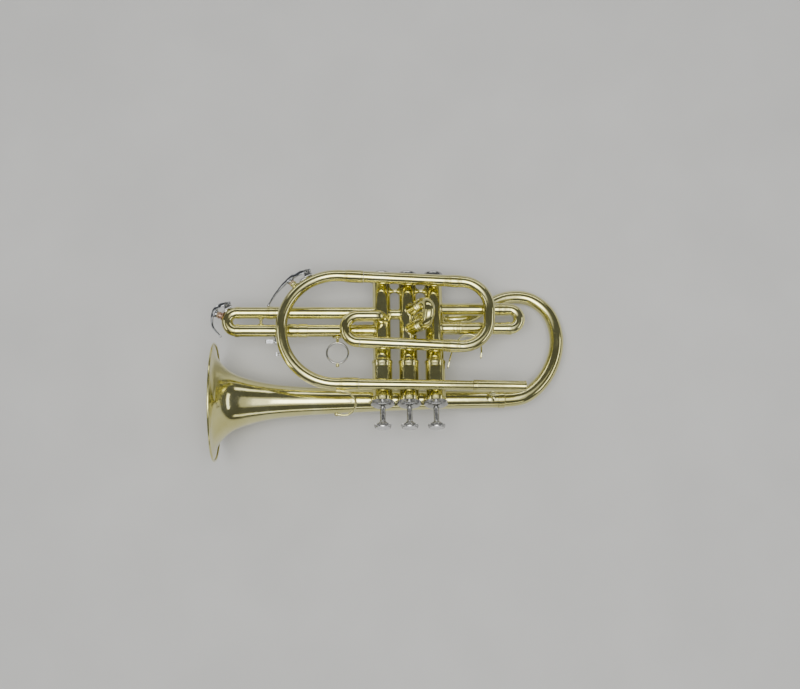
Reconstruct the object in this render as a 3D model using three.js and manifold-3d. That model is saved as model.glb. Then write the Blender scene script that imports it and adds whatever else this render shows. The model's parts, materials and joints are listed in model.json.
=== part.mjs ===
// B-flat cornet with a shepherd's crook: three piston valves, four moving slides and two water keys.
//
// The instrument frame, in millimetres: X runs from the bell towards the player, Y from the bottom
// caps up to the finger buttons, and Z from the leadpipe side across to the bell side. Its origin is
// on the axis of the middle valve. The whole instrument is then turned over on to its left side,
// as it rests on the bell rim and the crook, with the world's +Z up.
import * as THREE from 'three';
import { mergeVertices } from 'three/addons/utils/BufferGeometryUtils.js';
import Module from 'manifold-3d';

const wasm = await Module();
wasm.setup();

// ---- driving dimensions ----

const GAP = 0.3; // between soldered or stacked neighbours
const RUNNING = 0.05; // radial clearance of a sliding fit
const WALL = 0.5; // of the drawn brass tubes
const SIDES = 10; // of a tube's section
const VALVE_SIDES = 14;
const ARC_STEP = THREE.MathUtils.degToRad(30);

const VALVE_PITCH = 26.3;
const VALVE_TRAVEL = 14;
const STEM_RADIUS = 2.75;
const CASING_RADIUS = 9.1;
const BARREL_RADIUS = 10;
const PISTON_RADIUS = 8.35;
const CASING_BOTTOM = -69;
const CASING_STEP = 19;
const CASING_TOP = 62;
const CAP_CEILING = 62.3;
const FELT_THICKNESS = 1.6;
const STEM_PLATE = 1.7;
const BUTTON_BASE = 79.4;
const PORT_RADIUS = 4.3;
const PASSAGE_HEIGHT = -31.6; // of the tubes that join neighbouring casings
const STAY_HEIGHT = -56.6; // of the solid stays below them

const TUBE_RADIUS = 5.85; // main bore tubing
const SLIDE_RADIUS = 6.2; // outer sleeves of the three valve slides
const LEADPIPE_SIDE = -17.5; // z of the leadpipe, the front bow and the tuning slide
const BELL_SIDE = 23.2; // z of the bell and the crook

const BOW_END = -50; // where the front bow meets the leadpipe
const RECEIVER_START = 61.7;
const RECEIVER_END = 113.4;

const BELL_RIM_X = -194;
const BELL_RIM_RADIUS = 59.5;
const BELL_AXIS = [[BELL_RIM_X, 53], [93, 50.9]];

const TAIL_HEIGHT = -33.4; // where the crook enters the first valve

const BOW_CENTRE = [-70, -10.6];
const BOW_RADIUS = 55.8;
const TUNING_SLOPE = THREE.MathUtils.degToRad(2.7);
const TUNING_HALF_SPAN = 34;
const TUNING_JOINT = [38.8, -27.4]; // where the outer tubes end, midway between the legs
const TUNING_BEND = 28;

const FIRST_SLIDE = { low: -37.1, high: -16.9, joint: 92.6, collar: 51.6, bend: 102.7 };
const SECOND_SLIDE = { low: -34.2, high: -14.2, joint: 22, bend: 30, angle: THREE.MathUtils.degToRad(28) };
const THIRD_SLIDE = { low: -33, high: -14.3, joint: -132.5, collar: -52, bend: -171 };

const ROLL = THREE.MathUtils.degToRad(11); // buttons raised, on its side
const PITCH = THREE.MathUtils.degToRad(5.66); // bell raised, on its rim

const valveX = { 1: VALVE_PITCH, 2: 0, 3: -VALVE_PITCH };

// ---- materials ----

const brass = new THREE.MeshStandardMaterial({ color: 0xc9a54e, roughness: 0.18, metalness: 1 });
const nickel = new THREE.MeshStandardMaterial({ color: 0xb9b8b2, roughness: 0.3, metalness: 1 });
const chrome = new THREE.MeshStandardMaterial({ color: 0xd5d7d9, roughness: 0.12, metalness: 1 });
const copper = new THREE.MeshStandardMaterial({ color: 0xb87a5a, roughness: 0.3, metalness: 1 });
const steel = new THREE.MeshStandardMaterial({ color: 0x9a9c9e, roughness: 0.35, metalness: 1 });
const pearl = new THREE.MeshStandardMaterial({ color: 0xb7b6b4, roughness: 0.25, metalness: 0 });
const cork = new THREE.MeshStandardMaterial({ color: 0xa97c50, roughness: 0.9, metalness: 0 });
const felt = new THREE.MeshStandardMaterial({ color: 0x6b2f2a, roughness: 1, metalness: 0 });

// ---- curves ----

class Arc extends THREE.Curve {
  // Part of a circle: from centre + spoke, turned by angle about axis.
  constructor(centre, spoke, axis, angle) {
    super();
    Object.assign(this, { centre, spoke, axis, angle });
  }

  getPoint(t, target = new THREE.Vector3()) {
    return target.copy(this.spoke).applyAxisAngle(this.axis, this.angle * t).add(this.centre);
  }
}

// A route of straight stretches through corner points [x, y, z, bend radius].
function route(corners) {
  const path = new THREE.CurvePath();
  const points = corners.map(([x, y, z]) => new THREE.Vector3(x, y, z));
  let start = points[0];
  for (let i = 1; i < corners.length - 1; i++) {
    const radius = corners[i][3];
    const into = points[i].clone().sub(points[i - 1]).normalize();
    const out = points[i + 1].clone().sub(points[i]).normalize();
    const angle = into.angleTo(out);
    const reach = radius * Math.tan(angle / 2);
    const axis = new THREE.Vector3().crossVectors(into, out).normalize();
    const bendStart = points[i].clone().addScaledVector(into, -reach);
    const inward = new THREE.Vector3().crossVectors(axis, into);
    const centre = bendStart.clone().addScaledVector(inward, radius);
    addLine(path, start, bendStart);
    path.add(new Arc(centre, bendStart.clone().sub(centre), axis, angle));
    start = points[i].clone().addScaledVector(out, reach);
  }
  addLine(path, start, points.at(-1));
  return path;
}

function addLine(path, from, to) {
  if (from.distanceTo(to) > 0.01) path.add(new THREE.LineCurve3(from, to));
}

// A smooth route through points [x, y, z], in the given number of steps.
function smoothRoute(points, steps) {
  const path = new THREE.CurvePath();
  const vectors = points.map((p) => new THREE.Vector3(...p));
  const curve = new THREE.CatmullRomCurve3(vectors, false, 'centripetal');
  curve.steps = steps;
  path.add(curve);
  return path;
}

// Distances along a path where its tube needs a ring of vertices.
function stations(path) {
  const found = [0];
  let passed = 0;
  for (const curve of path.curves) {
    const length = curve.getLength();
    const steps = curve.steps ?? (curve instanceof Arc ? Math.ceil(curve.angle / ARC_STEP) : 1);
    for (let i = 1; i <= steps; i++) found.push(passed + (length * i) / steps);
    passed += length;
  }
  return found;
}

// ---- solids ----

// Adds a path's stations between an outline's points, which are [distance along the path, radius].
function withStations(outline, rings) {
  const points = [];
  outline.forEach(([distance, radius], i) => {
    points.push(new THREE.Vector2(radius, distance));
    if (i === outline.length - 1) return;
    const [nextDistance, nextRadius] = outline[i + 1];
    for (const ring of rings) {
      if (ring < distance + 0.05 || ring > nextDistance - 0.05) continue;
      const share = (ring - distance) / (nextDistance - distance);
      points.push(new THREE.Vector2(THREE.MathUtils.lerp(radius, nextRadius, share), ring));
    }
  });
  return points;
}

// An outline for one end of a tube, turned round for its other end.
function mirrored(outline, length) {
  return outline.map(([distance, radius]) => [length - distance, radius]).reverse();
}

// Bends a turned geometry, whose axis is Y from 0, along a path. The side vector fixes its facets.
function bend(geometry, path, side) {
  const position = geometry.attributes.position;
  const length = path.getLength();
  const vertex = new THREE.Vector3();
  const frames = new Map();
  const heights = Array.from({ length: position.count }, (_, i) => position.getY(i));
  const rings = [...new Set(heights)].sort((a, b) => a - b);
  const normal = side.clone();
  for (const ring of rings) {
    const t = THREE.MathUtils.clamp(ring / length, 0, 1);
    const tangent = path.getTangent(t);
    normal.addScaledVector(tangent, -normal.dot(tangent)).normalize();
    const across = new THREE.Vector3().crossVectors(tangent, normal);
    frames.set(ring, { origin: path.getPoint(t), across, normal: normal.clone() });
  }
  for (let i = 0; i < position.count; i++) {
    vertex.fromBufferAttribute(position, i);
    const { origin, across, normal: up } = frames.get(vertex.y);
    const placed = origin.clone().addScaledVector(across, vertex.x).addScaledVector(up, vertex.z);
    position.setXYZ(i, placed.x, placed.y, placed.z);
  }
  geometry.computeVertexNormals();
  return geometry;
}

const acrossValves = new THREE.Vector3(0, 0, 1);

// A hollow tube along a path. outer and inner are a radius, or outlines of [distance, radius].
function tube(path, outer, inner, { sides = SIDES, side = acrossValves } = {}) {
  const length = path.getLength();
  const rings = stations(path);
  const outline = (shape) => (typeof shape === 'number' ? [[0, shape], [length, shape]] : shape);
  const outside = withStations(outline(outer), rings);
  const inside = withStations(outline(inner), rings).reverse();
  return bend(new THREE.LatheGeometry([...outside, ...inside, outside[0]], sides), path, side);
}

// A solid rod along a path.
function rod(path, radius, { sides = 8, side = acrossValves } = {}) {
  const length = path.getLength();
  const outside = withStations([[0, radius], [length, radius]], stations(path));
  const profile = [new THREE.Vector2(0, 0), ...outside, new THREE.Vector2(0, length)];
  return bend(new THREE.LatheGeometry(profile, sides), path, side);
}

// A turned solid about Y. Points are [radius, height], up the outside; a hollow one closes on itself.
function turned(points, sides = VALVE_SIDES) {
  const profile = points.map(([radius, height]) => new THREE.Vector2(radius, height));
  return new THREE.LatheGeometry(profile, sides);
}

// A plain solid cylinder from one point to another.
function bar(from, to, radius, sides = 8) {
  const start = new THREE.Vector3(...from);
  const span = new THREE.Vector3(...to).sub(start);
  const geometry = new THREE.CylinderGeometry(radius, radius, span.length(), sides);
  geometry.translate(0, span.length() / 2, 0);
  return placed(geometry, start, span.normalize());
}

// Turns a geometry's Y axis to a direction and moves it.
function placed(geometry, at, direction) {
  geometry.applyQuaternion(new THREE.Quaternion().setFromUnitVectors(new THREE.Vector3(0, 1, 0), direction));
  return geometry.translate(at.x, at.y, at.z);
}

function block(width, height, depth, x, y, z) {
  return new THREE.BoxGeometry(width, height, depth).translate(x, y, z);
}

function ball(radius, x, y, z) {
  return new THREE.SphereGeometry(radius, 8, 5).translate(x, y, z);
}

function toManifold(geometry) {
  const plain = geometry.clone();
  plain.deleteAttribute('normal');
  plain.deleteAttribute('uv');
  const merged = mergeVertices(plain, 1e-4);
  const corners = [];
  for (let i = 0; i < merged.index.count; i += 3) {
    const [a, b, c] = [0, 1, 2].map((k) => merged.index.getX(i + k));
    if (a !== b && b !== c && c !== a) corners.push(a, b, c);
  }
  const vertProperties = new Float32Array(merged.attributes.position.array);
  const triVerts = new Uint32Array(corners);
  return new wasm.Manifold(new wasm.Mesh({ numProp: 3, vertProperties, triVerts }));
}

function toGeometry(manifold) {
  const mesh = manifold.getMesh();
  const geometry = new THREE.BufferGeometry();
  geometry.setAttribute('position', new THREE.BufferAttribute(new Float32Array(mesh.vertProperties), 3));
  geometry.setIndex(new THREE.BufferAttribute(new Uint32Array(mesh.triVerts), 1));
  geometry.computeVertexNormals();
  return geometry;
}

function join(...geometries) {
  return toGeometry(geometries.map(toManifold).reduce((sum, next) => sum.add(next)));
}

function cut(geometry, ...cutters) {
  const remove = (left, cutter) => left.subtract(cutter);
  return toGeometry(cutters.map(toManifold).reduce(remove, toManifold(geometry)));
}

// ---- assembly ----

const group = new THREE.Group();
const instrument = new THREE.Group();

function part(name, geometry, material, parent = instrument) {
  const mesh = new THREE.Mesh(geometry, material);
  mesh.name = name;
  parent.add(mesh);
  return mesh;
}

// The room that a tube's end leaves for a valve casing.
function casingRoom(x) {
  return bar([x, CASING_BOTTOM, 0], [x, CASING_STEP - 3, 0], CASING_RADIUS + GAP, VALVE_SIDES);
}

// ---- valves ----

function portCutter(height, angle) {
  const reach = CASING_RADIUS + 2;
  return bar([0, height, 0], [reach * Math.cos(angle), height, reach * Math.sin(angle)], PORT_RADIUS);
}

function casing(ports) {
  const bore = PISTON_RADIUS + RUNNING;
  const spring = BARREL_RADIUS - 0.8;
  const tubeShape = turned([
    [CASING_RADIUS, CASING_BOTTOM],
    [CASING_RADIUS, CASING_STEP - 2],
    [BARREL_RADIUS + 0.5, CASING_STEP - 1],
    [BARREL_RADIUS + 0.5, CASING_STEP + 1],
    [BARREL_RADIUS, CASING_STEP + 2],
    [BARREL_RADIUS, CASING_TOP],
    [spring, CASING_TOP],
    [spring, CASING_STEP],
    [bore, CASING_STEP],
    [bore, CASING_BOTTOM],
    [CASING_RADIUS, CASING_BOTTOM],
  ]);
  return cut(tubeShape, ...ports.map(([height, angle]) => portCutter(height, angle)));
}

// The tubes and stays that join the middle casing to its neighbours are brazed to it.
function crossovers(side) {
  const near = side * (CASING_RADIUS - 0.3);
  const far = side * (VALVE_PITCH - CASING_RADIUS + 2);
  const passage = bar([near, PASSAGE_HEIGHT, 0], [far, PASSAGE_HEIGHT, 0], 5.2, SIDES);
  const bore = bar([0, PASSAGE_HEIGHT, 0], [far + side, PASSAGE_HEIGHT, 0], PORT_RADIUS);
  const stay = bar([near, STAY_HEIGHT, 0], [far, STAY_HEIGHT, 0], 3);
  return [cut(passage, bore, casingRoom(side * VALVE_PITCH)), cut(stay, casingRoom(side * VALVE_PITCH))];
}

// From the cap's ceiling down: the felt, the stem's plate and the piston's rim.
const FELT_TOP = CAP_CEILING - GAP;
const PLATE_TOP = FELT_TOP - FELT_THICKNESS - GAP;
const PISTON_TOP = PLATE_TOP - STEM_PLATE - GAP;

function piston(portAngle) {
  const wellFloor = 16;
  const wellRadius = 7;
  const bottom = CASING_BOTTOM + 1 + VALVE_TRAVEL;
  const body = turned([
    [0, bottom],
    [PISTON_RADIUS, bottom],
    [PISTON_RADIUS, PISTON_TOP],
    [wellRadius, PISTON_TOP],
    [wellRadius, wellFloor],
    [0, wellFloor],
  ]);
  const slotBottom = CASING_STEP - 0.4;
  const slotHeight = VALVE_TRAVEL + 4;
  const slot = block(4.4, slotHeight, 2 * PISTON_RADIUS + 1, 0, slotBottom + slotHeight / 2, 0);
  const through = (height, angle) => {
    const [x, z] = [Math.cos(angle), Math.sin(angle)].map((share) => share * (PISTON_RADIUS + 1.65));
    return bar([-x, height, -z], [x, height, z], PORT_RADIUS);
  };
  const low = (FIRST_SLIDE.low + THIRD_SLIDE.low) / 2 + VALVE_TRAVEL;
  const high = (FIRST_SLIDE.high + THIRD_SLIDE.high) / 2 + VALVE_TRAVEL;
  return cut(body, slot, through(PASSAGE_HEIGHT - 0.4, 0), through(low, portAngle), through(high, portAngle));
}

function guide() {
  const bottom = CASING_STEP + GAP;
  const hub = bar([0, bottom, 0], [0, bottom + 2, 0], 6.6);
  return join(hub, block(4, 2, 2 * (BARREL_RADIUS - 1.4), 0, bottom + 1, 0));
}

function spring() {
  const [turns, radius] = [5, 5.4];
  const bottom = CASING_STEP + 3.3;
  const top = PISTON_TOP - 3.8;
  const stepsPerTurn = 6;
  const points = [];
  for (let i = 0; i <= turns * stepsPerTurn; i++) {
    const angle = (i / stepsPerTurn) * 2 * Math.PI;
    const height = bottom + ((top - bottom) * i) / (turns * stepsPerTurn);
    points.push([radius * Math.cos(angle), height, radius * Math.sin(angle)]);
  }
  return rod(smoothRoute(points, turns * stepsPerTurn), 0.45, { sides: 4, side: new THREE.Vector3(0, 1, 0) });
}

function stem() {
  return turned([
    [0, PISTON_TOP - 3],
    [6.7, PISTON_TOP - 3],
    [6.7, PLATE_TOP - STEM_PLATE],
    [8.2, PLATE_TOP - STEM_PLATE],
    [8.2, PLATE_TOP],
    [STEM_RADIUS, PLATE_TOP],
    [STEM_RADIUS, BUTTON_BASE + 2.7],
    [0, BUTTON_BASE + 2.7],
  ]);
}

function stemFelt() {
  const [inner, outer] = [STEM_RADIUS + 0.45, 8];
  const bottom = FELT_TOP - FELT_THICKNESS;
  const corners = [[outer, bottom], [outer, FELT_TOP], [inner, FELT_TOP], [inner, bottom]];
  return turned([...corners, corners[0]], 16);
}

function topCap() {
  const bottom = CAP_CEILING - 4;
  return turned([
    [11.8, bottom],
    [11.8, CAP_CEILING - GAP],
    [10.8, CAP_CEILING + 0.7],
    [7.2, CAP_CEILING + 2.8],
    [STEM_RADIUS + GAP, CAP_CEILING + 2.8],
    [STEM_RADIUS + GAP, CAP_CEILING],
    [BARREL_RADIUS + GAP, CAP_CEILING],
    [BARREL_RADIUS + GAP, bottom],
    [11.8, bottom],
  ]);
}

function bottomCap() {
  return turned([
    [0, -76],
    [8, -76],
    [10, -74.6],
    [10.4, -72],
    [10.4, -65.5],
    [CASING_RADIUS + GAP, -65.5],
    [CASING_RADIUS + GAP, CASING_BOTTOM - GAP],
    [0, CASING_BOTTOM - GAP],
  ]);
}

function button() {
  return turned([
    [0, BUTTON_BASE + 3],
    [STEM_RADIUS + GAP, BUTTON_BASE + 3],
    [STEM_RADIUS + GAP, BUTTON_BASE],
    [4.2, BUTTON_BASE],
    [4.8, BUTTON_BASE + 1.2],
    [8.5, BUTTON_BASE + 2.1],
    [8.5, BUTTON_BASE + 4.6],
    [8, BUTTON_BASE + 5.8],
    [7.7, BUTTON_BASE + 5.8],
    [7.7, BUTTON_BASE + 4.8],
    [0, BUTTON_BASE + 4.8],
  ]);
}

function buttonPearl() {
  const seat = BUTTON_BASE + 4.8 + GAP;
  return turned([[0, seat], [7.4, seat], [7.4, seat + 1.3], [5, seat + 2.1], [0, seat + 2.4]]);
}

function addValve(number, ports, portAngle, extras = []) {
  const valve = new THREE.Group();
  valve.position.x = valveX[number];
  instrument.add(valve);
  const shell = extras.length ? join(casing(ports), ...extras) : casing(ports);
  part(`valve_casing_${number}`, shell, brass, valve);
  part(`piston_${number}`, piston(portAngle), nickel, valve);
  part(`valve_guide_${number}`, guide(), nickel, valve);
  part(`valve_spring_${number}`, spring(), steel, valve);
  part(`valve_stem_${number}`, stem(), nickel, valve);
  part(`stem_felt_${number}`, stemFelt(), felt, valve);
  part(`top_cap_${number}`, topCap(), nickel, valve);
  part(`bottom_cap_${number}`, bottomCap(), nickel, valve);
  part(`finger_button_${number}`, button(), nickel, valve);
  part(`button_pearl_${number}`, buttonPearl(), pearl, valve);
}

const towardsPlayer = 0;
const towardsBell = Math.PI;
const secondSlideWay = -Math.PI / 2 + SECOND_SLIDE.angle;
const bellSide = THREE.MathUtils.degToRad(68);

addValve(1, [
  [PASSAGE_HEIGHT, towardsBell],
  [FIRST_SLIDE.low, towardsPlayer],
  [FIRST_SLIDE.high, towardsPlayer],
  [TAIL_HEIGHT, bellSide],
], towardsPlayer);
addValve(2, [
  [PASSAGE_HEIGHT, towardsPlayer],
  [PASSAGE_HEIGHT, towardsBell],
  [SECOND_SLIDE.low, secondSlideWay],
  [SECOND_SLIDE.high, secondSlideWay],
], secondSlideWay, [...crossovers(1), ...crossovers(-1)]);
addValve(3, [
  [PASSAGE_HEIGHT, towardsPlayer],
  [THIRD_SLIDE.low, towardsBell],
  [THIRD_SLIDE.high, towardsBell],
  [-24.4, -Math.PI / 2],
], towardsPlayer);

// ---- bell and crook ----

function bellAxisAt(x) {
  const [[x0, y0], [x1, y1]] = BELL_AXIS;
  return [x, THREE.MathUtils.mapLinear(x, x0, x1, y0, y1), BELL_SIDE];
}

function addBell() {
  const flare = [
    [0, BELL_RIM_RADIUS],
    [3, 46],
    [8, 38.5],
    [18, 29.4],
    [34, 22.8],
    [54, 18],
    [78, 15],
    [120, 12.6],
    [190, 9.8],
    [285, 8.2],
  ];
  const path = route([bellAxisAt(BELL_RIM_X), bellAxisAt(BELL_RIM_X + 285)]);
  const rimBead = [
    [0.2, BELL_RIM_RADIUS - 0.8],
    [0, BELL_RIM_RADIUS],
    [0.8, BELL_RIM_RADIUS + 0.5],
    [1.8, BELL_RIM_RADIUS - 0.4],
  ];
  const outside = [...rimBead, ...flare.slice(1).map(([d, r]) => [d + 0.6, r + 0.3])];
  outside[outside.length - 1][0] = 285;
  const inside = [[0.2, BELL_RIM_RADIUS - 0.8], ...flare.slice(1).map(([d, r]) => [d, r - 0.3])];
  // A flat of the rim's polygon faces the ground, so that the instrument rests without rolling.
  const sides = 24;
  const down = ROLL + Math.PI / sides;
  const side = new THREE.Vector3(0, -Math.sin(down), Math.cos(down));
  part('bell', tube(path, outside, inside, { sides, side }), brass);
}

function addCrook() {
  const points = [
    [...bellAxisAt(93)],
    [118, 47.5, BELL_SIDE],
    [138.3, 31, BELL_SIDE],
    [151.5, 6, BELL_SIDE],
    [154.5, -18, BELL_SIDE],
    [147.5, -41, BELL_SIDE],
    [129, -56.2, BELL_SIDE],
    [106, -58, BELL_SIDE],
    [86, -50, BELL_SIDE],
    [68, -38, 22],
    [54, -33.8, 21],
    [41, TAIL_HEIGHT, 20],
    [33, TAIL_HEIGHT, 15],
    [VALVE_PITCH + 1, TAIL_HEIGHT, 2.5],
  ];
  const path = smoothRoute(points, 15);
  const length = path.getLength();
  const shape = (offset) => [[0, 8 - offset], [length * 0.5, 6.9 - offset], [length, 5.9 - offset]];
  const shell = tube(path, shape(0), shape(WALL));
  const slideRoom = bar([VALVE_PITCH, FIRST_SLIDE.low, 0], [60, FIRST_SLIDE.low, 0], SLIDE_RADIUS + 2 * GAP);
  part('bell_crook', cut(shell, casingRoom(VALVE_PITCH), slideRoom), brass);
}

addBell();
addCrook();

// ---- leadpipe and front bow ----

function leadpipeAt(x) {
  return [x, THREE.MathUtils.mapLinear(x, -64.3, 113.5, 45.2, 47.9), LEADPIPE_SIDE];
}

function tuningPoint(along, across) {
  const [x, y] = TUNING_JOINT;
  const [c, s] = [Math.cos(TUNING_SLOPE), Math.sin(TUNING_SLOPE)];
  return [x + along * c - across * s, y + along * s + across * c, LEADPIPE_SIDE];
}

function addLeadpipe() {
  const path = route([leadpipeAt(BOW_END), leadpipeAt(RECEIVER_START - GAP)]);
  const length = path.getLength();
  part('leadpipe', tube(path, [[0, TUBE_RADIUS - 0.2], [length, 4.85]], [[0, 5.1], [length, 4.3]]), brass);
  const receiver = route([leadpipeAt(RECEIVER_START), leadpipeAt(RECEIVER_END)]);
  const end = receiver.getLength();
  const outside = [[0, 5.9], [2, 5.9], [2.6, 5.6], [end - 1.4, 5.3], [end - 1, 5.6], [end, 5.6]];
  part('mouthpiece_receiver', tube(receiver, outside, [[0, 4.35], [18, 4.3], [end, 4.85]]), brass);
}

function addFrontBow() {
  const left = BOW_CENTRE[0] - BOW_RADIUS;
  const corners = [
    leadpipeAt(BOW_END - GAP),
    [left, leadpipeAt(left)[1], LEADPIPE_SIDE, BOW_RADIUS - 1],
    [left, tuningPoint(left - TUNING_JOINT[0], -TUNING_HALF_SPAN)[1], LEADPIPE_SIDE, BOW_RADIUS - 1],
    tuningPoint(-85.5, -TUNING_HALF_SPAN),
  ];
  const path = route(corners);
  const length = path.getLength();
  const [ferrule, ferruleLength] = [TUBE_RADIUS + 0.45, 18];
  const oneEnd = [[0, ferrule], [ferruleLength, ferrule], [ferruleLength + 0.4, TUBE_RADIUS]];
  const outside = [...oneEnd, ...mirrored(oneEnd, length)];
  part('front_bow', tube(path, outside, TUBE_RADIUS - WALL), brass);
}

addLeadpipe();
addFrontBow();

// ---- main tuning slide ----

const LEG_RADIUS = TUBE_RADIUS - WALL - RUNNING;
const LEG_BORE = LEG_RADIUS - 0.45;

function addTuningTubes() {
  const lower = route([tuningPoint(-85.5 + GAP, -TUNING_HALF_SPAN), tuningPoint(0, -TUNING_HALF_SPAN)]);
  const upper = route([tuningPoint(-86, TUNING_HALF_SPAN), tuningPoint(0, TUNING_HALF_SPAN)]);
  part('tuning_tube_lower', tube(lower, TUBE_RADIUS, TUBE_RADIUS - WALL), brass);
  part('tuning_tube_upper', tube(upper, TUBE_RADIUS, TUBE_RADIUS - WALL), brass);
}

// From the upper tuning tube round a small bow, then down an elbow into the third valve.
function addEntryBow() {
  const [left, radius, height] = [-63.1, 13, -24.4];
  const start = tuningPoint(-86 - GAP, TUNING_HALF_SPAN);
  const path = route([
    start,
    [left, start[1] - 0.6, LEADPIPE_SIDE, radius],
    [left, height, LEADPIPE_SIDE, radius],
    [valveX[3], height, LEADPIPE_SIDE, 7.5],
    [valveX[3], height, -5],
  ]);
  part('entry_bow', cut(tube(path, 5.6, 5.1), casingRoom(valveX[3])), brass);
}

function addTuningSlide() {
  const [leg, ferrule] = [45, 12];
  const far = 41.6;
  const path = route([
    tuningPoint(-leg, -TUNING_HALF_SPAN),
    [...tuningPoint(far, -TUNING_HALF_SPAN), TUNING_BEND],
    [...tuningPoint(far, TUNING_HALF_SPAN), TUNING_BEND],
    tuningPoint(-leg, TUNING_HALF_SPAN),
  ]);
  const length = path.getLength();
  const collar = TUBE_RADIUS + 0.5;
  const oneEnd = [
    [0, LEG_RADIUS],
    [leg + GAP, LEG_RADIUS],
    [leg + GAP, collar],
    [leg + ferrule, collar],
    [leg + ferrule, TUBE_RADIUS],
  ];
  part('main_tuning_slide', tube(path, [...oneEnd, ...mirrored(oneEnd, length)], LEG_BORE), brass);
}

addTuningTubes();
addEntryBow();
addTuningSlide();

// ---- valve slides ----

// A point beside a valve: distance from its axis in the slide's direction, and height.
function besideValve(number, way, distance, height) {
  return [valveX[number] + distance * Math.cos(way), height, distance * Math.sin(way)];
}

const SLEEVE_BORE = LEG_RADIUS + RUNNING;

// A slide whose low leg runs inside a fixed tube, and whose high leg is a sleeve over another.
function addLongSlide(name, number, way, slide, legStart, stay) {
  const side = new THREE.Vector3(-Math.sin(way), 0, Math.cos(way));
  const at = (distance, height) => besideValve(number, way, distance, height);
  const fromAxis = (x) => Math.abs(x - valveX[number]);
  const [joint, collar, bendStart] = [slide.joint, slide.collar, slide.bend].map(fromAxis);
  const near = CASING_RADIUS - 2;
  const trim = (geometry) => cut(geometry, casingRoom(valveX[number]));

  const outerPath = route([at(near, slide.low), at(joint, slide.low)]);
  part(`${name}_outer_tube`, trim(tube(outerPath, SLIDE_RADIUS, SLEEVE_BORE, { side })), brass);

  const innerPath = route([at(near, slide.high), at(bendStart - 4, slide.high)]);
  const innerLength = innerPath.getLength();
  const shoulder = collar - GAP - near;
  const stepped = [
    [0, SLIDE_RADIUS],
    [shoulder, SLIDE_RADIUS],
    [shoulder, LEG_RADIUS],
    [innerLength, LEG_RADIUS],
  ];
  part(`${name}_inner_tube`, trim(tube(innerPath, stepped, LEG_BORE, { side })), brass);

  const radius = (slide.high - slide.low) / 2;
  const path = route([
    at(legStart, slide.low),
    [...at(bendStart + radius, slide.low), radius],
    [...at(bendStart + radius, slide.high), radius],
    at(collar, slide.high),
  ]);
  const length = path.getLength();
  const legEnd = joint + GAP - legStart;
  const sleeveStart = length - (bendStart - collar);
  const ferrule = SLIDE_RADIUS + 0.4;
  const outside = [
    [0, LEG_RADIUS],
    [legEnd, LEG_RADIUS],
    [legEnd, ferrule],
    [legEnd + 8, ferrule],
    [legEnd + 8, TUBE_RADIUS],
    [sleeveStart, TUBE_RADIUS],
    [sleeveStart, ferrule],
    [sleeveStart + 3, ferrule],
    [sleeveStart + 3, SLIDE_RADIUS],
    [length, SLIDE_RADIUS],
  ];
  const inside = [
    [0, LEG_BORE],
    [sleeveStart + 2, LEG_BORE],
    [sleeveStart + 2, SLEEVE_BORE],
    [length, SLEEVE_BORE],
  ];
  const crook = tube(path, outside, inside, { side });
  part(`${name}_crook`, stay ? join(crook, stay) : crook, brass);
}

function addSecondSlide() {
  const { low, high, joint, bend: bendStart } = SECOND_SLIDE;
  const side = new THREE.Vector3(-Math.sin(secondSlideWay), 0, Math.cos(secondSlideWay));
  const at = (distance, height) => besideValve(2, secondSlideWay, distance, height);
  const passageRoom = bar([0, PASSAGE_HEIGHT, 0], [VALVE_PITCH, PASSAGE_HEIGHT, 0], 5.2 + GAP);
  for (const [level, height] of Object.entries({ low, high })) {
    const path = route([at(CASING_RADIUS - 2, height), at(joint, height)]);
    const shell = tube(path, SLIDE_RADIUS, SLEEVE_BORE, { side });
    part(`second_slide_tube_${level}`, cut(shell, casingRoom(0), passageRoom), brass);
  }
  const legStart = CASING_RADIUS + 1.5;
  const radius = (high - low) / 2;
  const path = route([
    at(legStart, low),
    [...at(bendStart + radius, low), radius],
    [...at(bendStart + radius, high), radius],
    at(legStart, high),
  ]);
  const length = path.getLength();
  const legEnd = joint + GAP - legStart;
  const ferrule = SLIDE_RADIUS + 0.4;
  const oneEnd = [
    [0, LEG_RADIUS],
    [legEnd, LEG_RADIUS],
    [legEnd, ferrule],
    [legEnd + 6, ferrule],
    [legEnd + 6, TUBE_RADIUS],
  ];
  part('second_slide_crook', tube(path, [...oneEnd, ...mirrored(oneEnd, length)], LEG_BORE, { side }), brass);
}

// The stay with two flanges between the third slide's legs.
function thirdSlideStay() {
  const x = -147;
  const intoWall = 0.93; // of the tubes' radius, where their flats are
  const bottom = THIRD_SLIDE.low + TUBE_RADIUS * intoWall;
  const top = THIRD_SLIDE.high - SLIDE_RADIUS * intoWall;
  const post = bar([x, bottom, 0], [x, top, 0], 1.3);
  return join(post, bar([x, bottom, 0], [x, bottom + 1.2, 0], 3), bar([x, top - 1.2, 0], [x, top, 0], 3));
}

addLongSlide('first_slide', 1, towardsPlayer, FIRST_SLIDE, 30);
addSecondSlide();
addLongSlide('third_slide', 3, towardsBell, THIRD_SLIDE, 60, thirdSlideStay());

// ---- finger fittings ----

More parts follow.
